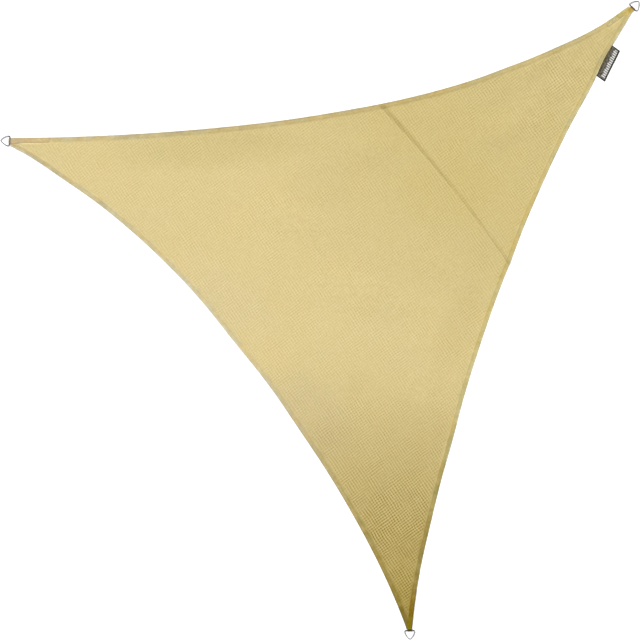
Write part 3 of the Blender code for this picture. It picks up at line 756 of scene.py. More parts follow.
def shade_at(P):
    """Colour of the cloth at each point before the knit's own pattern."""
    D, T = near_edges(P)
    d, k = D.min(1), D.argmin(1)
    at = np.arange(len(P))
    share = T[at, k]
    colour = cloth_tone(P)
    # hem: more layers, so less light comes through, and painted shade where it steps down to the cloth; its outer
    # fold is dull
    band = along_edge(lambda r: r["band"], k, share)
    fold = along_edge(lambda r: r["fold"], k, share)
    reach = along_edge(lambda r: r["reach"], k, share)[:, 0]
    line = np.stack([share * 3600.0 + 9000.0 * k, np.zeros(len(P))], 1)
    strip = np.stack([share * 3600.0 + 9000.0 * k, d], 1)
    reach = reach + 5.0 * value_noise(line, 36.0, 30)
    deeper = (1.0 + 0.30 * value_noise(line, 47.0, 31) + 0.20 * value_noise(line, 17.0, 32)
              + 0.35 * value_noise(strip, 13.0, 36))
    on = (1.0 - smooth(d, 0.62 * reach, 1.30 * reach))[:, None]
    colour = colour * (1.0 - on * (1.0 - band) * 1.08 * deeper[:, None])
    rim = 1.0 - smooth(d, 4.0, 9.5)
    rim = rim * np.clip(1.0 + 0.9 * value_noise(line, 26.0, 33) + 0.5 * value_noise(line, 90.0, 37), 0.0, 2.2)
    colour = colour * (1.0 - rim[:, None] * (1.0 - fold))
    # here and there the very edge is a cold grey
    cold = (1.0 - smooth(d, 3.0, 8.0)) * np.clip(1.6 * value_noise(line, 44.0, 39), 0.0, 1.0)
    colour = colour * (1.0 + cold[:, None] * np.array([-0.085, -0.045, 0.10]))
    stops = np.array([0.0, 1.0 / 3.0, 2.0 / 3.0, 1.0])
    for i, edge in enumerate(("AB", "BC", "CA")):
        pick = k == i
        # painted shade in the groove of the sewing row
        groove_shade = np.interp(share[pick], stops, ROW_GROOVE_SHADE[edge]) * np.exp(-((d[pick] - 9.0) / 3.2) ** 2)
        colour[pick] *= 1.0 - groove_shade[:, None] * np.array([1.0, 0.9, 0.35])
        for w in (w for w in HEM_SPOTS if w["edge"] == edge):
            near = np.exp(-((share[pick] - w["at"]) / w["wide"]) ** 2 - ((d[pick] - w["inset"]) / w["broad"]) ** 2)
            colour[pick] *= 1.0 - near[:, None] * (1.0 - np.array(w["tint"]))
    # patches along the band go from grey-green to orange
    hue = (value_noise(strip * np.array([0.6, 1.0]), 14.0, 34)
           + 0.8 * value_noise(line, 63.0, 35))[:, None]
    on = (1.0 - smooth(d, HEM_W, HEM_W + 14.0))[:, None]
    colour = colour * (1.0 + on * hue * np.array([0.027, -0.010, -0.085]))
    loose = 0.05 * value_noise(strip * np.array([0.7, 1.0]), 10.0, 38)[:, None]
    colour = colour * (1.0 + on * loose * KNIT_TINT)
    return colour, D, T


# ================================================================= mesh maker
def make(name, verts, faces, mat, colour=None, attributes=None, smooth_faces=True, uv=None):
    verts = np.asarray(verts, np.float32) * np.float32(MM)
    mesh = bpy.data.meshes.new(name)
    if isinstance(faces, np.ndarray):
        n, m = faces.shape
        mesh.vertices.add(len(verts))
        mesh.vertices.foreach_set("co", verts.ravel())
        mesh.loops.add(n * m)
        mesh.loops.foreach_set("vertex_index", faces.astype(np.int32).ravel())
        mesh.polygons.add(n)
        mesh.polygons.foreach_set("loop_start", np.arange(0, n * m, m, dtype=np.int32))
        mesh.update(calc_edges=True)
    else:
        mesh.from_pydata([tuple(map(float, v)) for v in verts], [], faces)
    mesh.validate()
    mesh.update()
    if colour is not None:
        layer = mesh.color_attributes.new("shade", "FLOAT_COLOR", "POINT")
        rgba = np.ones((len(verts), 4), np.float32)
        rgba[:, :3] = colour
        layer.data.foreach_set("color", rgba.ravel())
    for key, values in (attributes or {}).items():
        layer = mesh.attributes.new(key, "FLOAT", "POINT")
        layer.data.foreach_set("value", np.asarray(values, np.float32))
    if uv is not None:
        layer = mesh.uv_layers.new(name="along")
        index = np.empty(len(mesh.loops), np.int32)
        mesh.loops.foreach_get("vertex_index", index)
        layer.data.foreach_set("uv", np.asarray(uv, np.float32)[index].ravel())
    mesh.materials.append(mat)
    if smooth_faces:
        mesh.shade_smooth()
    obj = bpy.data.objects.new(name, mesh)
    bpy.context.scene.collection.objects.link(obj)
    return obj


def outward(obj):
    """Turns a closed mesh's faces outwards."""
    mesh = obj.data
    mesh.calc_loop_triangles()
    co = np.empty(len(mesh.vertices) * 3, np.float32)
    mesh.vertices.foreach_get("co", co)
    co = co.reshape(-1, 3).astype(float)
    tri = np.empty(len(mesh.loop_triangles) * 3, np.int32)
    mesh.loop_triangles.foreach_get("vertices", tri)
    a, b, c = (co[tri.reshape(-1, 3)[:, i]] for i in range(3))
    if (a * np.cross(b, c)).sum() < 0.0:
        mesh.flip_normals()


# ================================================================== materials
class Graph:
    """Short way of writing a material's nodes."""

    def __init__(self, name):
        self.mat = bpy.data.materials.new(name)
        self.mat.use_nodes = True
        self.tree = self.mat.node_tree
        self.bsdf = self.tree.nodes["Principled BSDF"]

    def node(self, kind, **settings):
        n = self.tree.nodes.new(kind)
        for k, v in settings.items():
            setattr(n, k, v)
        return n

    def put(self, socket, value):
        if isinstance(value, bpy.types.NodeSocket):
            self.tree.links.new(value, socket)
        elif value is not None:
            socket.default_value = value

    def math(self, op, a, b=None, c=None, clamp=False):
        n = self.node("ShaderNodeMath", operation=op, use_clamp=clamp)
        for s, v in zip(n.inputs, (a, b, c)):
            self.put(s, v)
        return n.outputs[0]

    def dot(self, vec, other):
        n = self.node("ShaderNodeVectorMath", operation="DOT_PRODUCT")
        self.put(n.inputs[0], vec)
        n.inputs[1].default_value = other
        return n.outputs["Value"]

    def noise(self, vec, scale, detail=2.0, rough=0.5, dist=0.0):
        n = self.node("ShaderNodeTexNoise")
        self.put(n.inputs["Vector"], vec)
        n.inputs["Scale"].default_value = scale
        n.inputs["Detail"].default_value = detail
        n.inputs["Roughness"].default_value = rough
        n.inputs["Distortion"].default_value = dist
        return n.outputs["Fac"]

    def span(self, value, a, b, c, d, kind="LINEAR"):
        n = self.node("ShaderNodeMapRange", interpolation_type=kind, clamp=True)
        self.put(n.inputs["Value"], value)
        for key, v in (("From Min", a), ("From Max", b), ("To Min", c), ("To Max", d)):
            n.inputs[key].default_value = v
        return n.outputs["Result"]

    def mix(self, fac, a, b, how="MIX"):
        n = self.node("ShaderNodeMix", data_type="RGBA", blend_type=how)
        self.put(n.inputs[0], fac)
        self.put(n.inputs[6], a)
        self.put(n.inputs[7], b)
        return n.outputs[2]

    def scale(self, colour, value):
        """Colour times a number."""
        n = self.node("ShaderNodeVectorMath", operation="SCALE")
        self.put(n.inputs[0], colour)
        self.put(n.inputs["Scale"], value)
        return n.outputs[0]

    def tinted(self, colour, change, weights):
        """Colour times one plus a change, with a weight for each channel."""
        n = self.node("ShaderNodeVectorMath", operation="MULTIPLY_ADD")
        self.put(n.inputs[0], change)
        n.inputs[1].default_value = tuple(map(float, weights))
        n.inputs[2].default_value = (1.0, 1.0, 1.0)
        m = self.node("ShaderNodeVectorMath", operation="MULTIPLY")
        self.put(m.inputs[0], colour)
        self.put(m.inputs[1], n.outputs[0])
        return m.outputs[0]

    def where(self):
        return self.node("ShaderNodeTexCoord").outputs["Object"]

    def attribute(self, name, output="Fac"):
        n = self.node("ShaderNodeAttribute", attribute_type="GEOMETRY", attribute_name=name)
        return n.outputs[output]

    def bump(self, height, strength, distance):
        n = self.node("ShaderNodeBump")
        n.inputs["Strength"].default_value = strength
        n.inputs["Distance"].default_value = distance
        self.put(n.inputs["Height"], height)
        self.tree.links.new(n.outputs["Normal"], self.bsdf.inputs["Normal"])


FLOOR_LIGHT = 1.50     # how brightly the lamps light the surface
KNIT_SHOW = (0.071, 0.067)   # share of light and dark in each coarse wave


def knit_phase(g, at, k, slip):
    """Phase of one of the knit's two coarse waves, from the place in metres."""
    u = direction(KNIT[k]["turn"]) * (2.0 * math.pi / KNIT[k]["pitch"] / MM)
    w = DRIFT[k]
    flat = g.dot(at, (float(u[0]), float(u[1]), 0.0))
    slow = g.dot(at, (w["kx"] / MM, w["ky"] / MM, 0.0))
    slow = g.math("SINE", g.math("ADD", slow, w["start"]))
    return g.math("ADD", g.math("MULTIPLY_ADD", slow, w["high"], flat), g.attribute(slip))


def knit_material():
    g = Graph("knitted_shade_cloth")
    at = g.where()
    a1, a2 = knit_phase(g, at, 0, "slip_one"), knit_phase(g, at, 1, "slip_two")
    # each wave times its own strength, which changes in patches
    w1 = g.math("MULTIPLY", g.math("COSINE", a1), g.attribute("knit_one"))
    w2 = g.math("MULTIPLY", g.math("COSINE", a2), g.attribute("knit_two"))
    coarse = g.math("ADD", g.math("MULTIPLY", w1, KNIT_SHOW[0]), g.math("MULTIPLY", w2, KNIT_SHOW[1]))
    # holes between the loops
    dip = g.math("MULTIPLY", g.math("ADD", w1, w2), -0.5)
    hole = g.span(dip, 0.55, 1.6, 0.0, 1.0, "SMOOTHSTEP")
    hole = g.math("MULTIPLY", hole, 0.11)
    # fine loops, five to each coarse pitch
    f1 = g.math("SINE", g.math("MULTIPLY", a1, 5.0))
    f2 = g.math("SINE", g.math("MULTIPLY_ADD", f1, 0.9, g.math("MULTIPLY", a2, 5.0)))
    fine = g.math("MULTIPLY", g.math("ADD", f2, g.math("MULTIPLY", f1, 0.5)), 0.05)
    # slow unevenness of the dye and the stretch
    cloudy = g.span(g.noise(at, 2.3, 3.0, 0.55), 0.25, 0.75, -0.008, 0.008)
    yarn = g.span(g.noise(at, 100.0, 1.0, 0.5), 0.25, 0.75, -0.070, 0.070)
    total = g.math("ADD", g.math("ADD", coarse, fine), g.math("ADD", cloudy, yarn))
    total = g.math("SUBTRACT", total, hole)
    g.put(g.bsdf.inputs["Base Color"], g.tinted(g.attribute("shade", "Color"), total, KNIT_TINT))
    rough = g.span(g.noise(at, 9.0, 2.0), 0.3, 0.7, 0.74, 0.88)
    g.put(g.bsdf.inputs["Roughness"], rough)
    g.bsdf.inputs["Specular IOR Level"].default_value = 0.18
    g.bsdf.inputs["Sheen Weight"].default_value = 0.05
    g.bsdf.inputs["Sheen Roughness"].default_value = 0.5
    height = g.math("ADD", g.math("MULTIPLY", f2, 0.5), g.math("MULTIPLY", f1, 0.35))
    height = g.math("SUBTRACT", height, g.math("MULTIPLY", hole, 8.0))
    g.bump(height, 0.35, 0.0004)
    return g.mat


def webbing_material():
    g = Graph("corner_webbing")
    at = g.where()
    u, v = g.attribute("run"), g.attribute("across")
    rib = g.math("SINE", g.math("MULTIPLY", u, 2.0 * math.pi / 2.2))
    zig = g.math("PINGPONG", v, 3.1)
    twill = g.math("SINE", g.math("MULTIPLY", g.math("ADD", u, zig), 2.0 * math.pi / 2.6))
    uneven = g.span(g.noise(at, 35.0, 3.0, 0.6), 0.25, 0.75, -0.10, 0.10)
    total = g.math("ADD", g.math("MULTIPLY", rib, 0.05), g.math("MULTIPLY", twill, 0.09))
    total = g.math("ADD", g.math("ADD", total, uneven), 1.0)
    g.put(g.bsdf.inputs["Base Color"], g.scale(g.attribute("shade", "Color"), total))
    g.put(g.bsdf.inputs["Roughness"], g.span(g.noise(at, 25.0), 0.3, 0.7, 0.62, 0.8))
    g.bsdf.inputs["Specular IOR Level"].default_value = 0.10
    g.bump(g.math("ADD", g.math("MULTIPLY", rib, 0.4), g.math("MULTIPLY", twill, 0.6)), 0.5, 0.0004)
    return g.mat


def steel_material():
    g = Graph("brushed_steel_wire")
    at = g.where()
    bar = g.attribute("bar")
    streak = g.noise(at, 420.0, 2.0, 0.6)
    dull = g.noise(at, 45.0, 3.0, 0.6, 0.4)
    tone = g.span(streak, 0.3, 0.7, 0.92, 1.06)
    tone = g.math("MULTIPLY", tone, g.span(dull, 0.3, 0.7, 0.84, 1.08))
    # the bar is painted darker: shade where the webbing wraps it
    base = g.mix(bar, (0.29, 0.29, 0.295, 1.0), (0.085, 0.078, 0.070, 1.0))
    g.put(g.bsdf.inputs["Base Color"], g.scale(base, tone))
    g.bsdf.inputs["Metallic"].default_value = 1.0
    g.put(g.bsdf.inputs["Roughness"], g.span(dull, 0.3, 0.7, 0.36, 0.50))
    g.bump(streak, 0.12, 0.0002)
    return g.mat


def thread_material():
    g = Graph("sewing_thread")
    at = g.where()
    twist = g.math("SINE", g.math("MULTIPLY", g.dot(at, (0.7, 0.7, 0.3)), 2.0 * math.pi / 0.0011))
    tone = g.math("MULTIPLY_ADD", twist, 0.10, g.span(g.noise(at, 14.0), 0.3, 0.7, 0.86, 1.12))
    g.put(g.bsdf.inputs["Base Color"], g.scale(g.attribute("shade", "Color"), tone))
    g.put(g.bsdf.inputs["Roughness"], g.span(g.noise(at, 80.0), 0.3, 0.7, 0.5, 0.68))
    g.bsdf.inputs["Specular IOR Level"].default_value = 0.3
    return g.mat


def tab_material():
    """Close woven tape with a plain border line and a row of plain bars."""
    g = Graph("woven_tape")
    at = g.where()
    u, v = g.attribute("run"), g.attribute("across")     # mm along, mm out
    long, out = TAB_LONG, TAB_OUT

    def between(x, lo, hi, soft=0.35):
        up = g.span(x, lo - soft, lo + soft, 0.0, 1.0)
        down = g.span(x, hi - soft, hi + soft, 1.0, 0.0)
        return g.math("MULTIPLY", up, down)

    # near-black folded rim on the outer side and both ends
    field = g.math("MULTIPLY", between(u, 5.2, long - 5.2), g.span(v, out - 7.9, out - 6.5, 1.0, 0.0))
    # border: between two rectangles
    outer = g.math("MULTIPLY", between(u, 6.2, long - 6.2), between(v, 5.0, out - 7.4))
    inner = g.math("MULTIPLY", between(u, 7.6, long - 7.6), between(v, 6.4, out - 8.8))
    border = g.math("SUBTRACT", outer, inner, clamp=True)
    # bars across, long and short by turns, in a band along the outer side
    beat = g.math("PINGPONG", g.math("ADD", u, 1.5), 6.2)
    bar = g.span(beat, 2.5, 3.3, 1.0, 0.0)
    turn = g.span(g.math("SINE", g.math("MULTIPLY", u, 2.0 * math.pi / 37.2)), -0.2, 0.2, 0.0, 5.0)
    low_end = g.math("SUBTRACT", v, turn)
    row = g.math("MULTIPLY", g.span(low_end, 26.5, 28.0, 0.0, 1.0), g.span(v, 48.6, 50.2, 1.0, 0.0))
    bars = g.math("MULTIPLY", bar, g.math("MULTIPLY", row, between(u, 11.0, long - 11.0)))
    # the band behind them is a lighter grey
    belt = g.math("MULTIPLY", g.span(v, 25.0, 34.0, 0.0, 1.0), g.span(v, 47.0, 51.5, 1.0, 0.0))
    belt = g.math("MULTIPLY", belt, between(u, 9.0, long - 9.0))
    # a row of small lozenges along the inner side
    lu = g.math("ABSOLUTE", g.math("SUBTRACT", g.math("MODULO", u, 24.0), 12.0))
    lv = g.math("ABSOLUTE", g.math("SUBTRACT", v, 17.0))
    size = g.math("ADD", g.math("MULTIPLY", lu, 0.62), lv)
    lozenge = g.math("MULTIPLY", g.span(size, 5.4, 6.2, 1.0, 0.0), between(u, 12.0, long - 12.0))
    weave1 = g.math("SINE", g.math("MULTIPLY", u, 2.0 * math.pi / 1.1))
    weave2 = g.math("SINE", g.math("MULTIPLY", v, 2.0 * math.pi / 0.9))
    weave = g.math("MULTIPLY", weave1, weave2)
    uneven = g.span(g.noise(at, 85.0, 2.0), 0.30, 0.70, 0.28, 1.76)
    # brown beside the hem, grey further out
    ground = g.scale(g.mix(g.span(v, 4.0, 26.0, 0.0, 1.0),
                           (0.060, 0.047, 0.024, 1.0), (0.071, 0.064, 0.053, 1.0)), uneven)
    col = g.mix(g.math("MULTIPLY", lozenge, 0.7), ground, (0.115, 0.125, 0.085, 1.0))
    col = g.mix(belt, col, g.scale(g.mix(0.0, (0.165, 0.160, 0.145, 1.0), (0.165, 0.160, 0.145, 1.0)), uneven))
    col = g.mix(bars, col, (0.53, 0.52, 0.49, 1.0))
    col = g.mix(g.math("MULTIPLY", border, 0.35), col, (0.20, 0.19, 0.17, 1.0))
    col = g.mix(field, (0.016, 0.015, 0.013, 1.0), col)
    col = g.scale(col, g.math("MULTIPLY_ADD", weave, 0.22, 1.0))
    g.put(g.bsdf.inputs["Base Color"], col)
    g.put(g.bsdf.inputs["Roughness"], g.span(weave, -1.0, 1.0, 0.78, 0.66))
    g.bsdf.inputs["Specular IOR Level"].default_value = 0.10
    raised = g.math("ADD", g.math("MULTIPLY", weave, 0.4), g.math("ADD", bars, border))
    g.bump(raised, 0.4, 0.0003)
    return g.mat


def floor_material():
    g = Graph("pale_floor")
    at = g.where()
    tone = g.span(g.noise(at, 0.6, 2.0), 0.3, 0.7, 0.985, 1.0)
    g.put(g.bsdf.inputs["Base Color"], g.scale(g.mix(0.0, (0.93, 0.93, 0.93, 1.0), (0.93, 0.93, 0.93, 1.0)), tone))
    g.bsdf.inputs["Roughness"].default_value = 0.95
    g.bsdf.inputs["Specular IOR Level"].default_value = 0.0
    return g.mat


KNIT_MAT = knit_material()
WEB_MAT = webbing_material()
STEEL_MAT = steel_material()
THREAD_MAT = thread_material()
TAB_MAT = tab_material()


# ================================================================== the cloth
def open_knit(P, D):
    """Strength of the coarse knit pattern: weak on the hem, more near C."""
    d = D.min(1)
    to_c = np.linalg.norm(P - corner_frame("C")[0], axis=1)
    to_b = np.linalg.norm(P - corner_frame("B")[0], axis=1)
    to_a = np.linalg.norm(P - corner_frame("A")[0], axis=1)
    s = 1.0 + 0.5 * (1.0 - smooth(to_c, 900.0, 1500.0)) + 1.3 * (1.0 - smooth(to_c, 620.0, 980.0))
    s += 0.35 * np.exp(-((to_b - 620.0) / 420.0) ** 2)
    s *= 0.55 + 0.45 * smooth(to_b, 140.0, 330.0)
    s *= 0.6 + 0.4 * smooth(to_a, 60.0, 260.0)
    return s * (0.18 + 0.82 * smooth(d, HEM_W + 1.0, HEM_W + 14.0))


# the seam's darker band at seven places along it: how far it reaches above the
# seam line, how dark it is there, how dark its lower line is, and how bright a painted highlight beside the upper
# panel's cut edge is
SEAM_BAND = [dict(x=-560.0, top=17.0, dark=0.145, line=0.00, pale=0.02),
             dict(x=-330.0, top=11.5, dark=0.120, line=0.03, pale=0.04),
             dict(x=-100.0, top=9.0, dark=0.080, line=0.12, pale=0.09),
             dict(x=45.0, top=12.0, dark=0.035, line=-0.03, pale=0.08),
             dict(x=190.0, top=7.5, dark=0.075, line=0.08, pale=0.09),
             dict(x=340.0, top=0.0, dark=0.012, line=0.06, pale=0.06),
             dict(x=500.0, top=0.0, dark=0.010, line=0.08, pale=0.04)]


def seam_shade(P):
    """Darkening over the seam: wide near edge AB, narrow near edge BC; and a painted highlight just outside the upper
    panel's cut edge.
    """
    x = P[:, 0]
    s = P[:, 1] - seam_y(x)
    at = [r["x"] for r in SEAM_BAND]
    top, dark, low, pale = (np.interp(x, at, [r[key] for r in SEAM_BAND])
                            for key in ("top", "dark", "line", "pale"))
    along = np.stack([x, np.zeros(len(P))], 1)
    dark = dark * (1.0 + 0.25 * value_noise(along, 38.0, 41))
    band = dark * smooth(s, -9.5, -4.0) * (1.0 - smooth(s, top - 3.5, top + 4.5))
    return (band, low * np.exp(-((s + 2.5) / 4.0) ** 2), pale * np.exp(-((s + 10.0) / 4.5) ** 2))


def finish_cloth(name, solid, node, heights):
    verts, faces = solid
    P = verts[:, :2]
    colour, D, T = shade_at(P)
    band, core, gleam = seam_shade(P)
    free = smooth(D.min(1), 3.0, 14.0)[:, None]
    colour = colour * (1.0 - free * band[:, None] * np.array([1.0, 1.08, 1.70]))
    colour = colour * (1.0 - free * core[:, None] * np.array([1.0, 1.10, 1.80]))
    # painted highlight that lightens the shadow at the upper panel's cut edge
    colour = colour * (1.0 + free * gleam[:, None])
    one, two = knit_lead(P)
    slip = knit_slip(P)
    show = open_knit(P, D)
    obj = make(name, verts, faces, KNIT_MAT, colour=colour / FLOOR_LIGHT,
               attributes={"knit_one": one * show, "knit_two": two * show,
                           "slip_one": slip[0], "slip_two": slip[1]})
    outward(obj)
    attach(obj, "root")
    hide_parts(node)
    return obj


main_cloth = finish_cloth("sail_main_panel", main_panel(), "cloth_main",
                          main_heights)
corner_cloth = finish_cloth("sail_corner_panel", corner_panel(), "cloth_corner",
                            corner_heights)


# ================================================================ the webbing
def leg_line(name, edge, leg, count=34):
    """Plan points of one leg, from its free end to just short of the bar."""
    bar, e, _ = corner_frame(name)
    starts = EDGES[edge]["start"] == name
    chord = np.linalg.norm(edge_point(edge, 1.0) - edge_point(edge, 0.0))

    def at(r):
        t = r / chord
        return edge_point(edge, t if starts else 1.0 - t, STRAP_IN)

    out = [at(r) for r in np.linspace(leg, 62.0, count)]
    p0, p1 = out[-1], bar - 16.0 * e
    t0 = out[-1] - out[-2]
    t0 = t0 / np.linalg.norm(t0)
    span = np.linalg.norm(p1 - p0)
    for s in np.linspace(0.0, 1.0, 15)[1:]:
        h1, h2 = 2 * s ** 3 - 3 * s ** 2 + 1, s ** 3 - 2 * s ** 2 + s
        h3, h4 = -2 * s ** 3 + 3 * s ** 2, s ** 3 - s ** 2
        out.append(h1 * p0 + h2 * span * t0 + h3 * p1 + h4 * span * e)
    return out


def strap_path(name):
    """Middle surface of the webbing: (point, width direction, kind) rows."""
    bar, e, n = corner_frame(name)
    row = STRAPS[name]
    high = STRAP_T + GAP + HEM_T + GAP + 0.5 * STRAP_T
    low = 0.5 * STRAP_T
    mid_r = EYE_R + 0.5 * STRAP_T
    path = []

    def plan(points, z, flip, kind):
        for i, p in enumerate(points):
            a, b = points[max(i - 1, 0)], points[min(i + 1, len(points) - 1)]
            t = (b - a) / np.linalg.norm(b - a) * flip
            path.append((np.array([p[0], p[1], z]), np.array([-t[1], t[0], 0.0]), kind))

    plan(leg_line(name, row["top"], row["leg"]), high, 1.0, 0)
    wide = np.array([n[0], n[1], 0.0])
    top = BAR_Z + mid_r
    for s in (14.0, 12.0, 10.0, 8.0, 6.0, 4.0, 2.0):
        z = high + (top - high) * float(1.0 - smooth(s, 0.0, 16.0))
        path.append((np.array([*(bar - s * e), z]), wide, 1))
    for k in range(17):
        a = math.radians(90.0 - 11.25 * k)
        p = bar + mid_r * math.cos(a) * e
        path.append((np.array([p[0], p[1], BAR_Z + mid_r * math.sin(a)]), wide, 1))
    plan(leg_line(name, row["low"], row["leg"])[::-1], low, -1.0, 2)
    return path


# webbing colours as they show at each corner: at its free end, at mid leg,
# near the ring, round the bar; round the bar is painted shade, and at C all four hold that corner's painted shade
WEB_TONES = {
    "A": [(0.69, 0.55, 0.28), (0.67, 0.51, 0.26), (0.60, 0.46, 0.25), (0.24, 0.20, 0.15)],
    "B": [(0.66, 0.56, 0.29), (0.57, 0.48, 0.18), (0.60, 0.43, 0.09), (0.16, 0.11, 0.05)],
    "C": [(0.33, 0.23, 0.040), (0.26, 0.16, 0.003), (0.24, 0.18, 0.001), (0.06, 0.045, 0.02)],
}
# how much darker the webbing's selvedges are, painted shade at its edges, and its sewing against it
WEB_EDGE_SHADE = {"A": 0.05, "B": 0.0, "C": 0.30}
# how much lighter its inner selvedge is, painted light against the shade at its inner edge, and how
# blotched it is
WEB_INNER_LIGHT = {"A": 0.16, "B": 0.26, "C": 0.30}
WEB_BLOTCH = {"A": 0.5, "B": 1.7, "C": 1.2}
WEB_SEWING = {"A": (0.88, 0.84, 0.76), "B": (0.86, 0.80, 0.66), "C": (0.66, 0.60, 0.50)}


def ribbon(path, half_w, half_t, cols):
    """Closed strip with rounded edges along a path of (point, width) rows."""
    # outline of the strip's section: (across, up)
    section = []
    for i in range(cols + 1):
        section.append((-half_w + 2 * half_w * i / cols, 1.0))
    section = [(x, 0.55 if i in (0, cols) else (0.95 if i in (1, cols - 1) else 1.0))
               for i, (x, _) in enumerate(section)]
    ring = section + [(x, -h) for x, h in section[::-1]]
    verts, across = [], []
    m = len(ring)
    for i, (p, wide) in enumerate(path):
        a, b = path[max(i - 1, 0)][0], path[min(i + 1, len(path) - 1)][0]
        t = (b - a) / np.linalg.norm(b - a)
        up = np.cross(t, wide)
        up /= np.linalg.norm(up)
        for x, h in ring:
            verts.append(p + x * wide + h * half_t * up)
            across.append(x)
    faces = []
    n = len(path)
    for i in range(n - 1):
        for k in range(m):
            l = (k + 1) % m
            faces.append([m * i + k, m * i + l, m * (i + 1) + l, m * (i + 1) + k])
    c = cols + 1
    for base, flip in ((0, False), (m * (n - 1), True)):
        for k in range(cols):
            q = [base + k, base + k + 1, base + m - 2 - k, base + m - 1 - k]
            faces.append(q if flip else q[::-1])
    return np.array(verts), faces, np.array(across), m


STRAP_OBJECTS = {}
for corner in CORNERS:
    rows = strap_path(corner)
    pts = np.array([r[0] for r in rows])
    run = np.concatenate([[0.0], np.cumsum(np.linalg.norm(np.diff(pts, axis=0), axis=1))])
    bar, e, n_dir = corner_frame(corner)
    bent = []
    for i, (p, wide, kind) in enumerate(rows):
        q = p.copy()
        if kind == 0:
            # sewn down: gently wavy, never into the hem below
            q[2] += 0.12 + 0.12 * math.sin(run[i] / 13.0) + 0.25 * float(np.exp(-(run[i] / 5.0) ** 2))
        bent.append((q, wide))
    verts, faces, across, m = ribbon(bent, 0.5 * STRAP_W, 0.5 * STRAP_T, 10)
    along = np.repeat(run, m)
    back = np.array([float((p[:2] - bar) @ e) for p, _, _ in rows])
    leg = STRAPS[corner]["leg"]
    tones = np.array(WEB_TONES[corner])
    r = np.array([np.linalg.norm(p[:2] - bar) for p, _, _ in rows])
    share = np.clip((leg - r) / (leg - 20.0), 0.0, 1.0)
    col = np.where(share[:, None] < 0.5,
                   tones[0] + (tones[1] - tones[0]) * (share[:, None] * 2.0),
                   tones[1] + (tones[2] - tones[1]) * (share[:, None] * 2.0 - 1.0))
    # painted shade where the webbing wraps round the bar
    wrap = smooth(back, -9.0, -3.5)[:, None]
    col = col * (1.0 - wrap) + tones[3] * wrap
    colour = np.repeat(col, m, axis=0)
    # painted shade darkens the selvedges, and the weave is blotched with wear
    colour = colour * (1.0 - WEB_EDGE_SHADE[corner] * smooth(np.abs(across), 8.0, 12.0))[:, None]
    # painted light along the inner selvedge
    inner = math.copysign(1.0, float(rows[0][1][:2] @ (np.array([0.0, -550.0]) - rows[0][0][:2])))
    colour = colour * (1.0 + WEB_INNER_LIGHT[corner] * smooth(inner * across, 7.0, 11.5))[:, None]
    strip = np.stack([along, across + 600.0 * bar[0]], 1)
    blotch = 0.10 * value_noise(strip, 9.0, 51) + 0.08 * value_noise(strip, 21.0, 52)
    warm = 0.05 * value_noise(strip, 14.0, 53)
    colour = colour * (1.0 + (blotch * WEB_BLOTCH[corner])[:, None] * KNIT_TINT
                       + warm[:, None] * np.array([1.0, -0.3, -2.0]))
    colour = np.clip(colour, 0.0, 1.0)
    obj = make("strap_" + corner.lower(), verts, faces, WEB_MAT, colour=colour / FLOOR_LIGHT,
               attributes={"run": along, "across": across + 0.5 * STRAP_W})
    obj.data.set_sharp_from_angle(angle=math.radians(50.0))
    outward(obj)
    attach(obj, "root")
    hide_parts("webbing_" + corner.lower())
    STRAP_OBJECTS[corner] = (rows, run)
    print("strap", corner, "length mm", round(float(run[-1]), 1))


# ================================================================== the rings
def ring_line():
    """Closed centre line of a ring: u along the bar, v away from it."""
    c1 = np.array([BAR_HALF, BAR_CORNER_R])
    c2 = np.array([0.0, RING_DEEP - APEX_R])
    # centre of the bowed side, which both end arcs touch from within
    r1, r2 = SIDE_R - BAR_CORNER_R, SIDE_R - APEX_R
    gap = np.linalg.norm(c2 - c1)
    u = (c2 - c1) / gap
    k = (r1 * r1 - r2 * r2 + gap * gap) / (2.0 * gap)
    c3 = c1 + k * u + math.sqrt(r1 * r1 - k * k) * np.array([-u[1], u[0]])
    first = math.atan2(c1[1] - c3[1], c1[0] - c3[0])
    last = math.atan2(c2[1] - c3[1], c2[0] - c3[0])
    half = [np.array([x, 0.0]) for x in np.linspace(0.0, BAR_HALF, 10)]
    for c, r, a0, a1, n in ((c1, BAR_CORNER_R, -0.5 * math.pi, first, 15),
                            (c3, SIDE_R, first, last, 21), (c2, APEX_R, last, 0.5 * math.pi, 9)):
        for a in np.linspace(a0, a1, n)[1:]:
            half.append(c + r * np.array([math.cos(a), math.sin(a)]))
    return half + [np.array([-p[0], p[1]]) for p in half[-2:0:-1]]


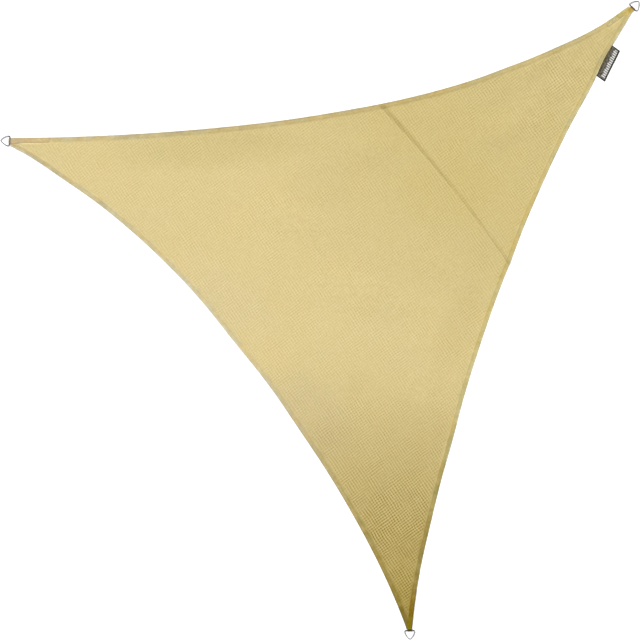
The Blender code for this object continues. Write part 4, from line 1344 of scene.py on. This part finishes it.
def ring_piece(corner):
    bar, e, n = corner_frame(corner)
    line = ring_line()
    tilt = math.asin((BAR_Z - APEX_Z) / RING_DEEP)
    out = np.array([e[0] * math.cos(tilt), e[1] * math.cos(tilt), -math.sin(tilt)])
    along = np.array([n[0], n[1], 0.0])
    up = np.cross(out, along)
    if up[2] < 0:
        up = -up
    base = np.array([bar[0], bar[1], BAR_Z])
    m, sides = len(line), 20
    verts, faces, dark = [], [], []
    for i, q in enumerate(line):
        a, b = line[i - 1], line[(i + 1) % m]
        t = (b - a) / np.linalg.norm(b - a)
        side = np.array([t[1], -t[0]])
        # a low weld bead on one arm
        arm = np.array([-19.5, 27.5])
        bead = 0.42 * math.exp(-(np.linalg.norm(q - arm) / 2.4) ** 2)
        for k in range(sides):
            ang = 2.0 * math.pi * k / sides
            rad = WIRE_R + bead * (1.0 + 0.25 * math.sin(3.0 * ang + 1.0))
            w = q + side * rad * math.cos(ang)
            verts.append(base + w[0] * along + w[1] * out + rad * math.sin(ang) * up)
            # painted shade on the bar
            dark.append(1.0 - float(smooth(q[1], 1.5, 6.5)))
    for i in range(m):
        j = (i + 1) % m
        for k in range(sides):
            l = (k + 1) % sides
            faces.append([sides * i + k, sides * i + l, sides * j + l, sides * j + k])
    obj = make("ring_wire_" + corner.lower(), np.array(verts), np.array(faces), STEEL_MAT,
               attributes={"bar": dark})
    outward(obj)
    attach(obj, "root")
    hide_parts("ring_" + corner.lower())
    return obj


for corner in CORNERS:
    ring_piece(corner)


# ==================================================================== the tab
def tab_piece():
    c = edge_point("BC", TAB_T_AT)
    t = edge_point("BC", TAB_T_AT + 1e-4) - edge_point("BC", TAB_T_AT - 1e-4)
    t /= np.linalg.norm(t)
    out = np.array([-t[1], t[0]])
    cols, rows = 76, 24
    A, B = np.meshgrid(np.linspace(0, 1, cols + 1), np.linspace(0, 1, rows + 1), indexing="ij")
    a = (A - 0.5) * TAB_LONG
    b = -TAB_TUCK + (TAB_TUCK + TAB_OUT) * B
    free = smooth(b, 8.0, TAB_OUT)
    wave = 1.6 * free * (0.5 - 0.5 * np.cos(math.pi * (A * 2.6 + 0.3)))
    wave += 0.5 * free * np.sin(A * 17.0 + B * 2.0) ** 2
    s = a + TAB_SKEW * b / TAB_OUT
    x = c[0] + s * t[0] + b * out[0]
    y = c[1] + s * t[1] + b * out[1]
    # folded rim, a little thicker
    rim = np.minimum(np.minimum(A, 1 - A) * TAB_LONG, (1 - B) * (TAB_TUCK + TAB_OUT))
    rim = np.where(b > 2.0, 0.28 * (1.0 - smooth(rim, 2.2, 4.2)), 0.0)
    edge = np.where((A < 1e-6) | (A > 1 - 1e-6) | (B > 1 - 1e-6), 0.3, 0.0)
    low = np.stack([x, y, wave + edge * 0.4], -1).reshape(-1, 3)
    high = np.stack([x, y, wave + TAB_T + rim - edge], -1).reshape(-1, 3)
    verts = np.concatenate([low, high])
    per = (cols + 1) * (rows + 1)

    def vid(i, j, top):
        return i * (rows + 1) + j + (per if top else 0)

    faces = []
    for i in range(cols):
        for j in range(rows):
            q = [(i, j), (i + 1, j), (i + 1, j + 1), (i, j + 1)]
            faces.append([vid(p, r, True) for p, r in q])
            faces.append([vid(p, r, False) for p, r in reversed(q)])
    loop = ([(i, 0) for i in range(cols)] + [(cols, j) for j in range(rows)]
            + [(i, rows) for i in range(cols, 0, -1)] + [(0, j) for j in range(rows, 0, -1)])
    for k, (p, q) in enumerate(loop):
        p2, q2 = loop[(k + 1) % len(loop)]
        faces.append([vid(p, q, False), vid(p2, q2, False), vid(p2, q2, True), vid(p, q, True)])
    u = np.tile((A * TAB_LONG).ravel(), 2)
    v = np.tile(b.ravel(), 2)
    obj = make("edge_tab", verts, np.array(faces), TAB_MAT, attributes={"run": u, "across": v})
    outward(obj)
    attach(obj, "root")
    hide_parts("woven_tab")
    return c, t, out


tab_c, tab_t, tab_out = tab_piece()


# ================================================================= the sewing
def arc_resample(P, pitch):
    """Points at even steps along a polyline, and the tangent there."""
    seg = np.linalg.norm(np.diff(P, axis=0), axis=1)
    s = np.concatenate([[0.0], np.cumsum(seg)])
    count = max(1, int(s[-1] / pitch))
    at = (np.arange(count) + 0.5) * (s[-1] / count)
    x = np.interp(at, s, P[:, 0])
    y = np.interp(at, s, P[:, 1])
    i = np.clip(np.searchsorted(s, at) - 1, 0, len(seg) - 1)
    t = (P[i + 1] - P[i]) / seg[i][:, None]
    return np.stack([x, y], 1), t[:, :2]


def stitch_mesh(name, runs, height, long, radius, colour, rise=0.22):
    """Rows of single stitches as joined short arched tubes."""
    P = np.concatenate([r[0] for r in runs])
    T = np.concatenate([r[1] for r in runs])
    n = len(P)
    # four stations along each stitch, ends dipping into the cloth
    stations = np.array([-0.5, -0.30, 0.30, 0.5]) * long
    arch = np.array([-0.75, 0.75, 0.75, -0.75]) * radius + rise
    fat = np.array([0.55, 1.0, 1.0, 0.55]) * radius
    sides = 5
    side = np.stack([-T[:, 1], T[:, 0]], 1)
    verts = np.zeros((n, len(stations), sides, 3))
    for k, (s, a, f) in enumerate(zip(stations, arch, fat)):
        mid = P + T * s
        z = height(mid)
        for j in range(sides):
            ang = 2.0 * math.pi * (j + 0.5) / sides
            off = f * math.cos(ang)
            verts[:, k, j, 0] = mid[:, 0] + side[:, 0] * off
            verts[:, k, j, 1] = mid[:, 1] + side[:, 1] * off
            verts[:, k, j, 2] = z + a + f * math.sin(ang)
    m = len(stations)
    local = []
    for k in range(m - 1):
        for j in range(sides):
            l = (j + 1) % sides
            local.append([k * sides + j, k * sides + l, (k + 1) * sides + l])
            local.append([k * sides + j, (k + 1) * sides + l, (k + 1) * sides + j])
    for j in range(1, sides - 1):
        local.append([0, j + 1, j])
        last = (m - 1) * sides
        local.append([last, last + j, last + j + 1])
    local = np.array(local)
    faces = (local[None] + (np.arange(n) * m * sides)[:, None, None]).reshape(-1, 3)
    flat = verts.reshape(-1, 3)
    col = colour(flat[:, :2]) if callable(colour) else np.tile(colour, (len(flat), 1))
    obj = make(name, flat, faces, THREAD_MAT, colour=col / FLOOR_LIGHT)
    outward(obj)
    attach(obj, "root")
    return obj


def hem_run(edge, t0, t1, inset, pitch):
    return arc_resample(edge_points(edge, np.linspace(t0, t1, 500), inset), pitch)


def thread_colour(P):
    # the thread takes the cloth's colour there, painted light and shade included
    colour, _, _ = shade_at(P)
    return colour * np.array([0.74, 0.68, 0.52])


def main_top(P):
    return main_heights(P)[1]


def corner_top(P):
    return corner_heights(P)[1]


STITCH, PITCH, THREAD_R = 6.2, 8.0, 0.5
lap = 0.5 * LAP_W
main_runs, corner_runs = [], []
for inset in (5.0, 21.5):
    main_runs.append(hem_run("BC", seam_cross("BC", inset, -lap) + 0.004,
                             min(0.9985, hem_corner("BC", "CA", inset, True)) - 0.004, inset, PITCH))
    main_runs.append(hem_run("CA", hem_corner("CA", "BC", inset, False) + 0.003,
                             hem_corner("CA", "AB", inset, True) - 0.003, inset, PITCH))
    main_runs.append(hem_run("AB", hem_corner("AB", "CA", inset, False) + 0.004,
                             seam_cross("AB", inset, -lap) - 0.004, inset, PITCH))
    corner_runs.append(hem_run("AB", seam_cross("AB", inset, -lap) + 0.001,
                               hem_corner("AB", "BC", inset, True) - 0.004, inset, PITCH))
    corner_runs.append(hem_run("BC", hem_corner("BC", "AB", inset, False) + 0.003,
                               seam_cross("BC", inset, -lap) - 0.001, inset, PITCH))


def clear_of_straps(runs):
    """Leaves out the stitches that a strap's top leg covers."""
    out = []
    for P, T in runs:
        keep = np.ones(len(P), bool)
        for name in CORNERS:
            bar = corner_frame(name)[0]
            d, _ = near_edge(P, STRAPS[name]["top"])
            r = np.linalg.norm(P - bar, axis=1)
            keep &= ~((r < STRAPS[name]["leg"] + 5.0) & (d < 28.0)) & (r > 34.0)
        out.append((P[keep], T[keep]))
    return out


stitch_mesh("hem_sewing_main", clear_of_straps(main_runs), main_top, STITCH, THREAD_R, thread_colour)
stitch_mesh("hem_sewing_corner", clear_of_straps(corner_runs), corner_top, STITCH, THREAD_R, thread_colour)

seam_runs = []
for off in (-4.5, 4.5):
    x0 = edge_point("AB", seam_cross("AB", 3.0, off), 3.0)[0]
    x1 = edge_point("BC", seam_cross("BC", 3.0, off), 3.0)[0]
    x = np.linspace(x0, x1, 500)
    seam_runs.append(arc_resample(np.stack([x, seam_y(x) + off], 1), PITCH))
stitch_mesh("seam_sewing", seam_runs, corner_top, STITCH, THREAD_R,
            lambda P: thread_colour(P) * 0.92)


def strap_frames(corner):
    """Plan line, left direction and height of a strap's sewn top leg."""
    rows, run = STRAP_OBJECTS[corner]
    keep = [i for i, r in enumerate(rows) if r[2] == 0]
    line = np.array([rows[i][0][:2] for i in keep])
    wide = np.array([rows[i][1][:2] for i in keep])
    return line, wide, run[keep]


def strap_point(corner, s, across):
    line, wide, run = strap_frames(corner)
    s = np.atleast_1d(s)
    across = np.atleast_1d(across)
    x = np.interp(s, run, line[:, 0]) + across * np.interp(s, run, wide[:, 0])
    y = np.interp(s, run, line[:, 1]) + across * np.interp(s, run, wide[:, 1])
    return np.stack([x, y], 1)


STRAP_TOP = STRAP_T + GAP + HEM_T + GAP + STRAP_T
for corner in CORNERS:
    end = STRAPS[corner]["leg"] - 66.0
    runs = []
    for across in (-9.5, 9.5):
        s = np.linspace(4.0, end, 200)
        runs.append(arc_resample(strap_point(corner, s, across), 6.0))
    for s0, s1 in ((5.0, 34.0), (end - 34.0, end - 4.0)):
        for ss, aa in (((s0, s0), (-9.0, 9.0)), ((s1, s1), (-9.0, 9.0)),
                       ((s0, s1), (-9.0, 9.0)), ((s0, s1), (9.0, -9.0))):
            k = np.linspace(0.0, 1.0, 40)
            P = strap_point(corner, ss[0] + (ss[1] - ss[0]) * k, aa[0] + (aa[1] - aa[0]) * k)
            runs.append(arc_resample(P, 5.0))
    # the strap's sewing takes its mid-leg tone, at C with that corner's painted shade
    tone = np.array(WEB_TONES[corner][1]) * np.array(WEB_SEWING[corner])

    def strap_top(P, corner=corner):
        bar = corner_frame(corner)[0]
        s = STRAPS[corner]["leg"] - np.linalg.norm(P - bar, axis=1)
        return np.full(len(P), STRAP_TOP) + 0.12 + 0.12 * np.sin(s / 13.0)

    stitch_mesh("strap_sewing_" + corner.lower(), runs, strap_top, 4.4, 0.42, tone, rise=0.1)

# one row holds the tab under the hem
k = np.linspace(-0.5 * TAB_LONG + 4.0, 0.5 * TAB_LONG - 4.0, 200)
t_at = TAB_T_AT + k / LENGTHS["BC"]
stitch_mesh("tab_sewing", [arc_resample(edge_points("BC", t_at, 9.0), 6.0)], corner_top, 4.6, 0.45,
            lambda P: thread_colour(P) * 0.8)


# ====================================================== floor, light, camera
def floor_piece():
    n, r = 64, 60.0
    verts = [(0.0, 0.0, 0.0)] + [(r * math.cos(2 * math.pi * i / n) / MM, r * math.sin(2 * math.pi * i / n) / MM, 0.0)
                                 for i in range(n)]
    faces = [[0, 1 + i, 1 + (i + 1) % n] for i in range(n)]
    obj = make("floor", np.array(verts), np.array(faces), floor_material(), smooth_faces=False)
    obj.location.z = -0.0004
    return obj


floor_piece()

scene = bpy.context.scene
scene.view_settings.view_transform = "Standard"
scene.view_settings.look = "None"
scene.view_settings.exposure = 0.0
scene.view_settings.gamma = 1.0

world = bpy.data.worlds.new("studio")
scene.world = world
world.use_nodes = True
wt = world.node_tree
for old in list(wt.nodes):
    wt.nodes.remove(old)
w_out = wt.nodes.new("ShaderNodeOutputWorld")
w_bg = wt.nodes.new("ShaderNodeBackground")
w_coord = wt.nodes.new("ShaderNodeTexCoord")
w_sep = wt.nodes.new("ShaderNodeSeparateXYZ")
w_ramp = wt.nodes.new("ShaderNodeValToRGB")
w_ramp.color_ramp.elements[0].position = 0.0
w_ramp.color_ramp.elements[0].color = (1.0, 1.0, 1.0, 1.0)
w_ramp.color_ramp.elements[1].position = 0.55
w_ramp.color_ramp.elements[1].color = (0.42, 0.42, 0.43, 1.0)
wt.links.new(w_coord.outputs["Generated"], w_sep.inputs[0])
wt.links.new(w_sep.outputs["Z"], w_ramp.inputs["Fac"])
wt.links.new(w_ramp.outputs["Color"], w_bg.inputs["Color"])
w_bg.inputs["Strength"].default_value = 1.0
wt.links.new(w_bg.outputs["Background"], w_out.inputs["Surface"])


def lamp(name, place, wide, power):
    """Large soft lamp so far away that it lights the whole sail evenly."""
    data = bpy.data.lights.new(name, "SUN")
    data.angle = math.radians(wide)
    data.energy = power
    obj = bpy.data.objects.new(name, data)
    scene.collection.objects.link(obj)
    obj.location = place
    obj.rotation_mode = "QUATERNION"
    obj.rotation_quaternion = Vector(place).to_track_quat("Z", "Y")
    return obj


lamp("key", (-6.2, 0.0, 6.4), 19.0, 3.6)
lamp("fill", (3.3, 5.5, 8.0), 28.0, 0.9)

# straight above, turned so that corner A is at the left and C at the bottom
camera_data = bpy.data.cameras.new("camera")
camera_data.lens = 200.0
camera_data.sensor_width = 36.0
camera_data.sensor_fit = "HORIZONTAL"
camera = bpy.data.objects.new("camera", camera_data)
scene.collection.objects.link(camera)
VIEW_WIDTH = 3.5456
away = VIEW_WIDTH * camera_data.lens / camera_data.sensor_width
camera.location = (0.1033, -0.87015, away + 0.002)
camera.rotation_euler = (0.0, 0.0, math.radians(50.8))
camera_data.clip_start, camera_data.clip_end = 0.5, 200.0
scene.camera = camera
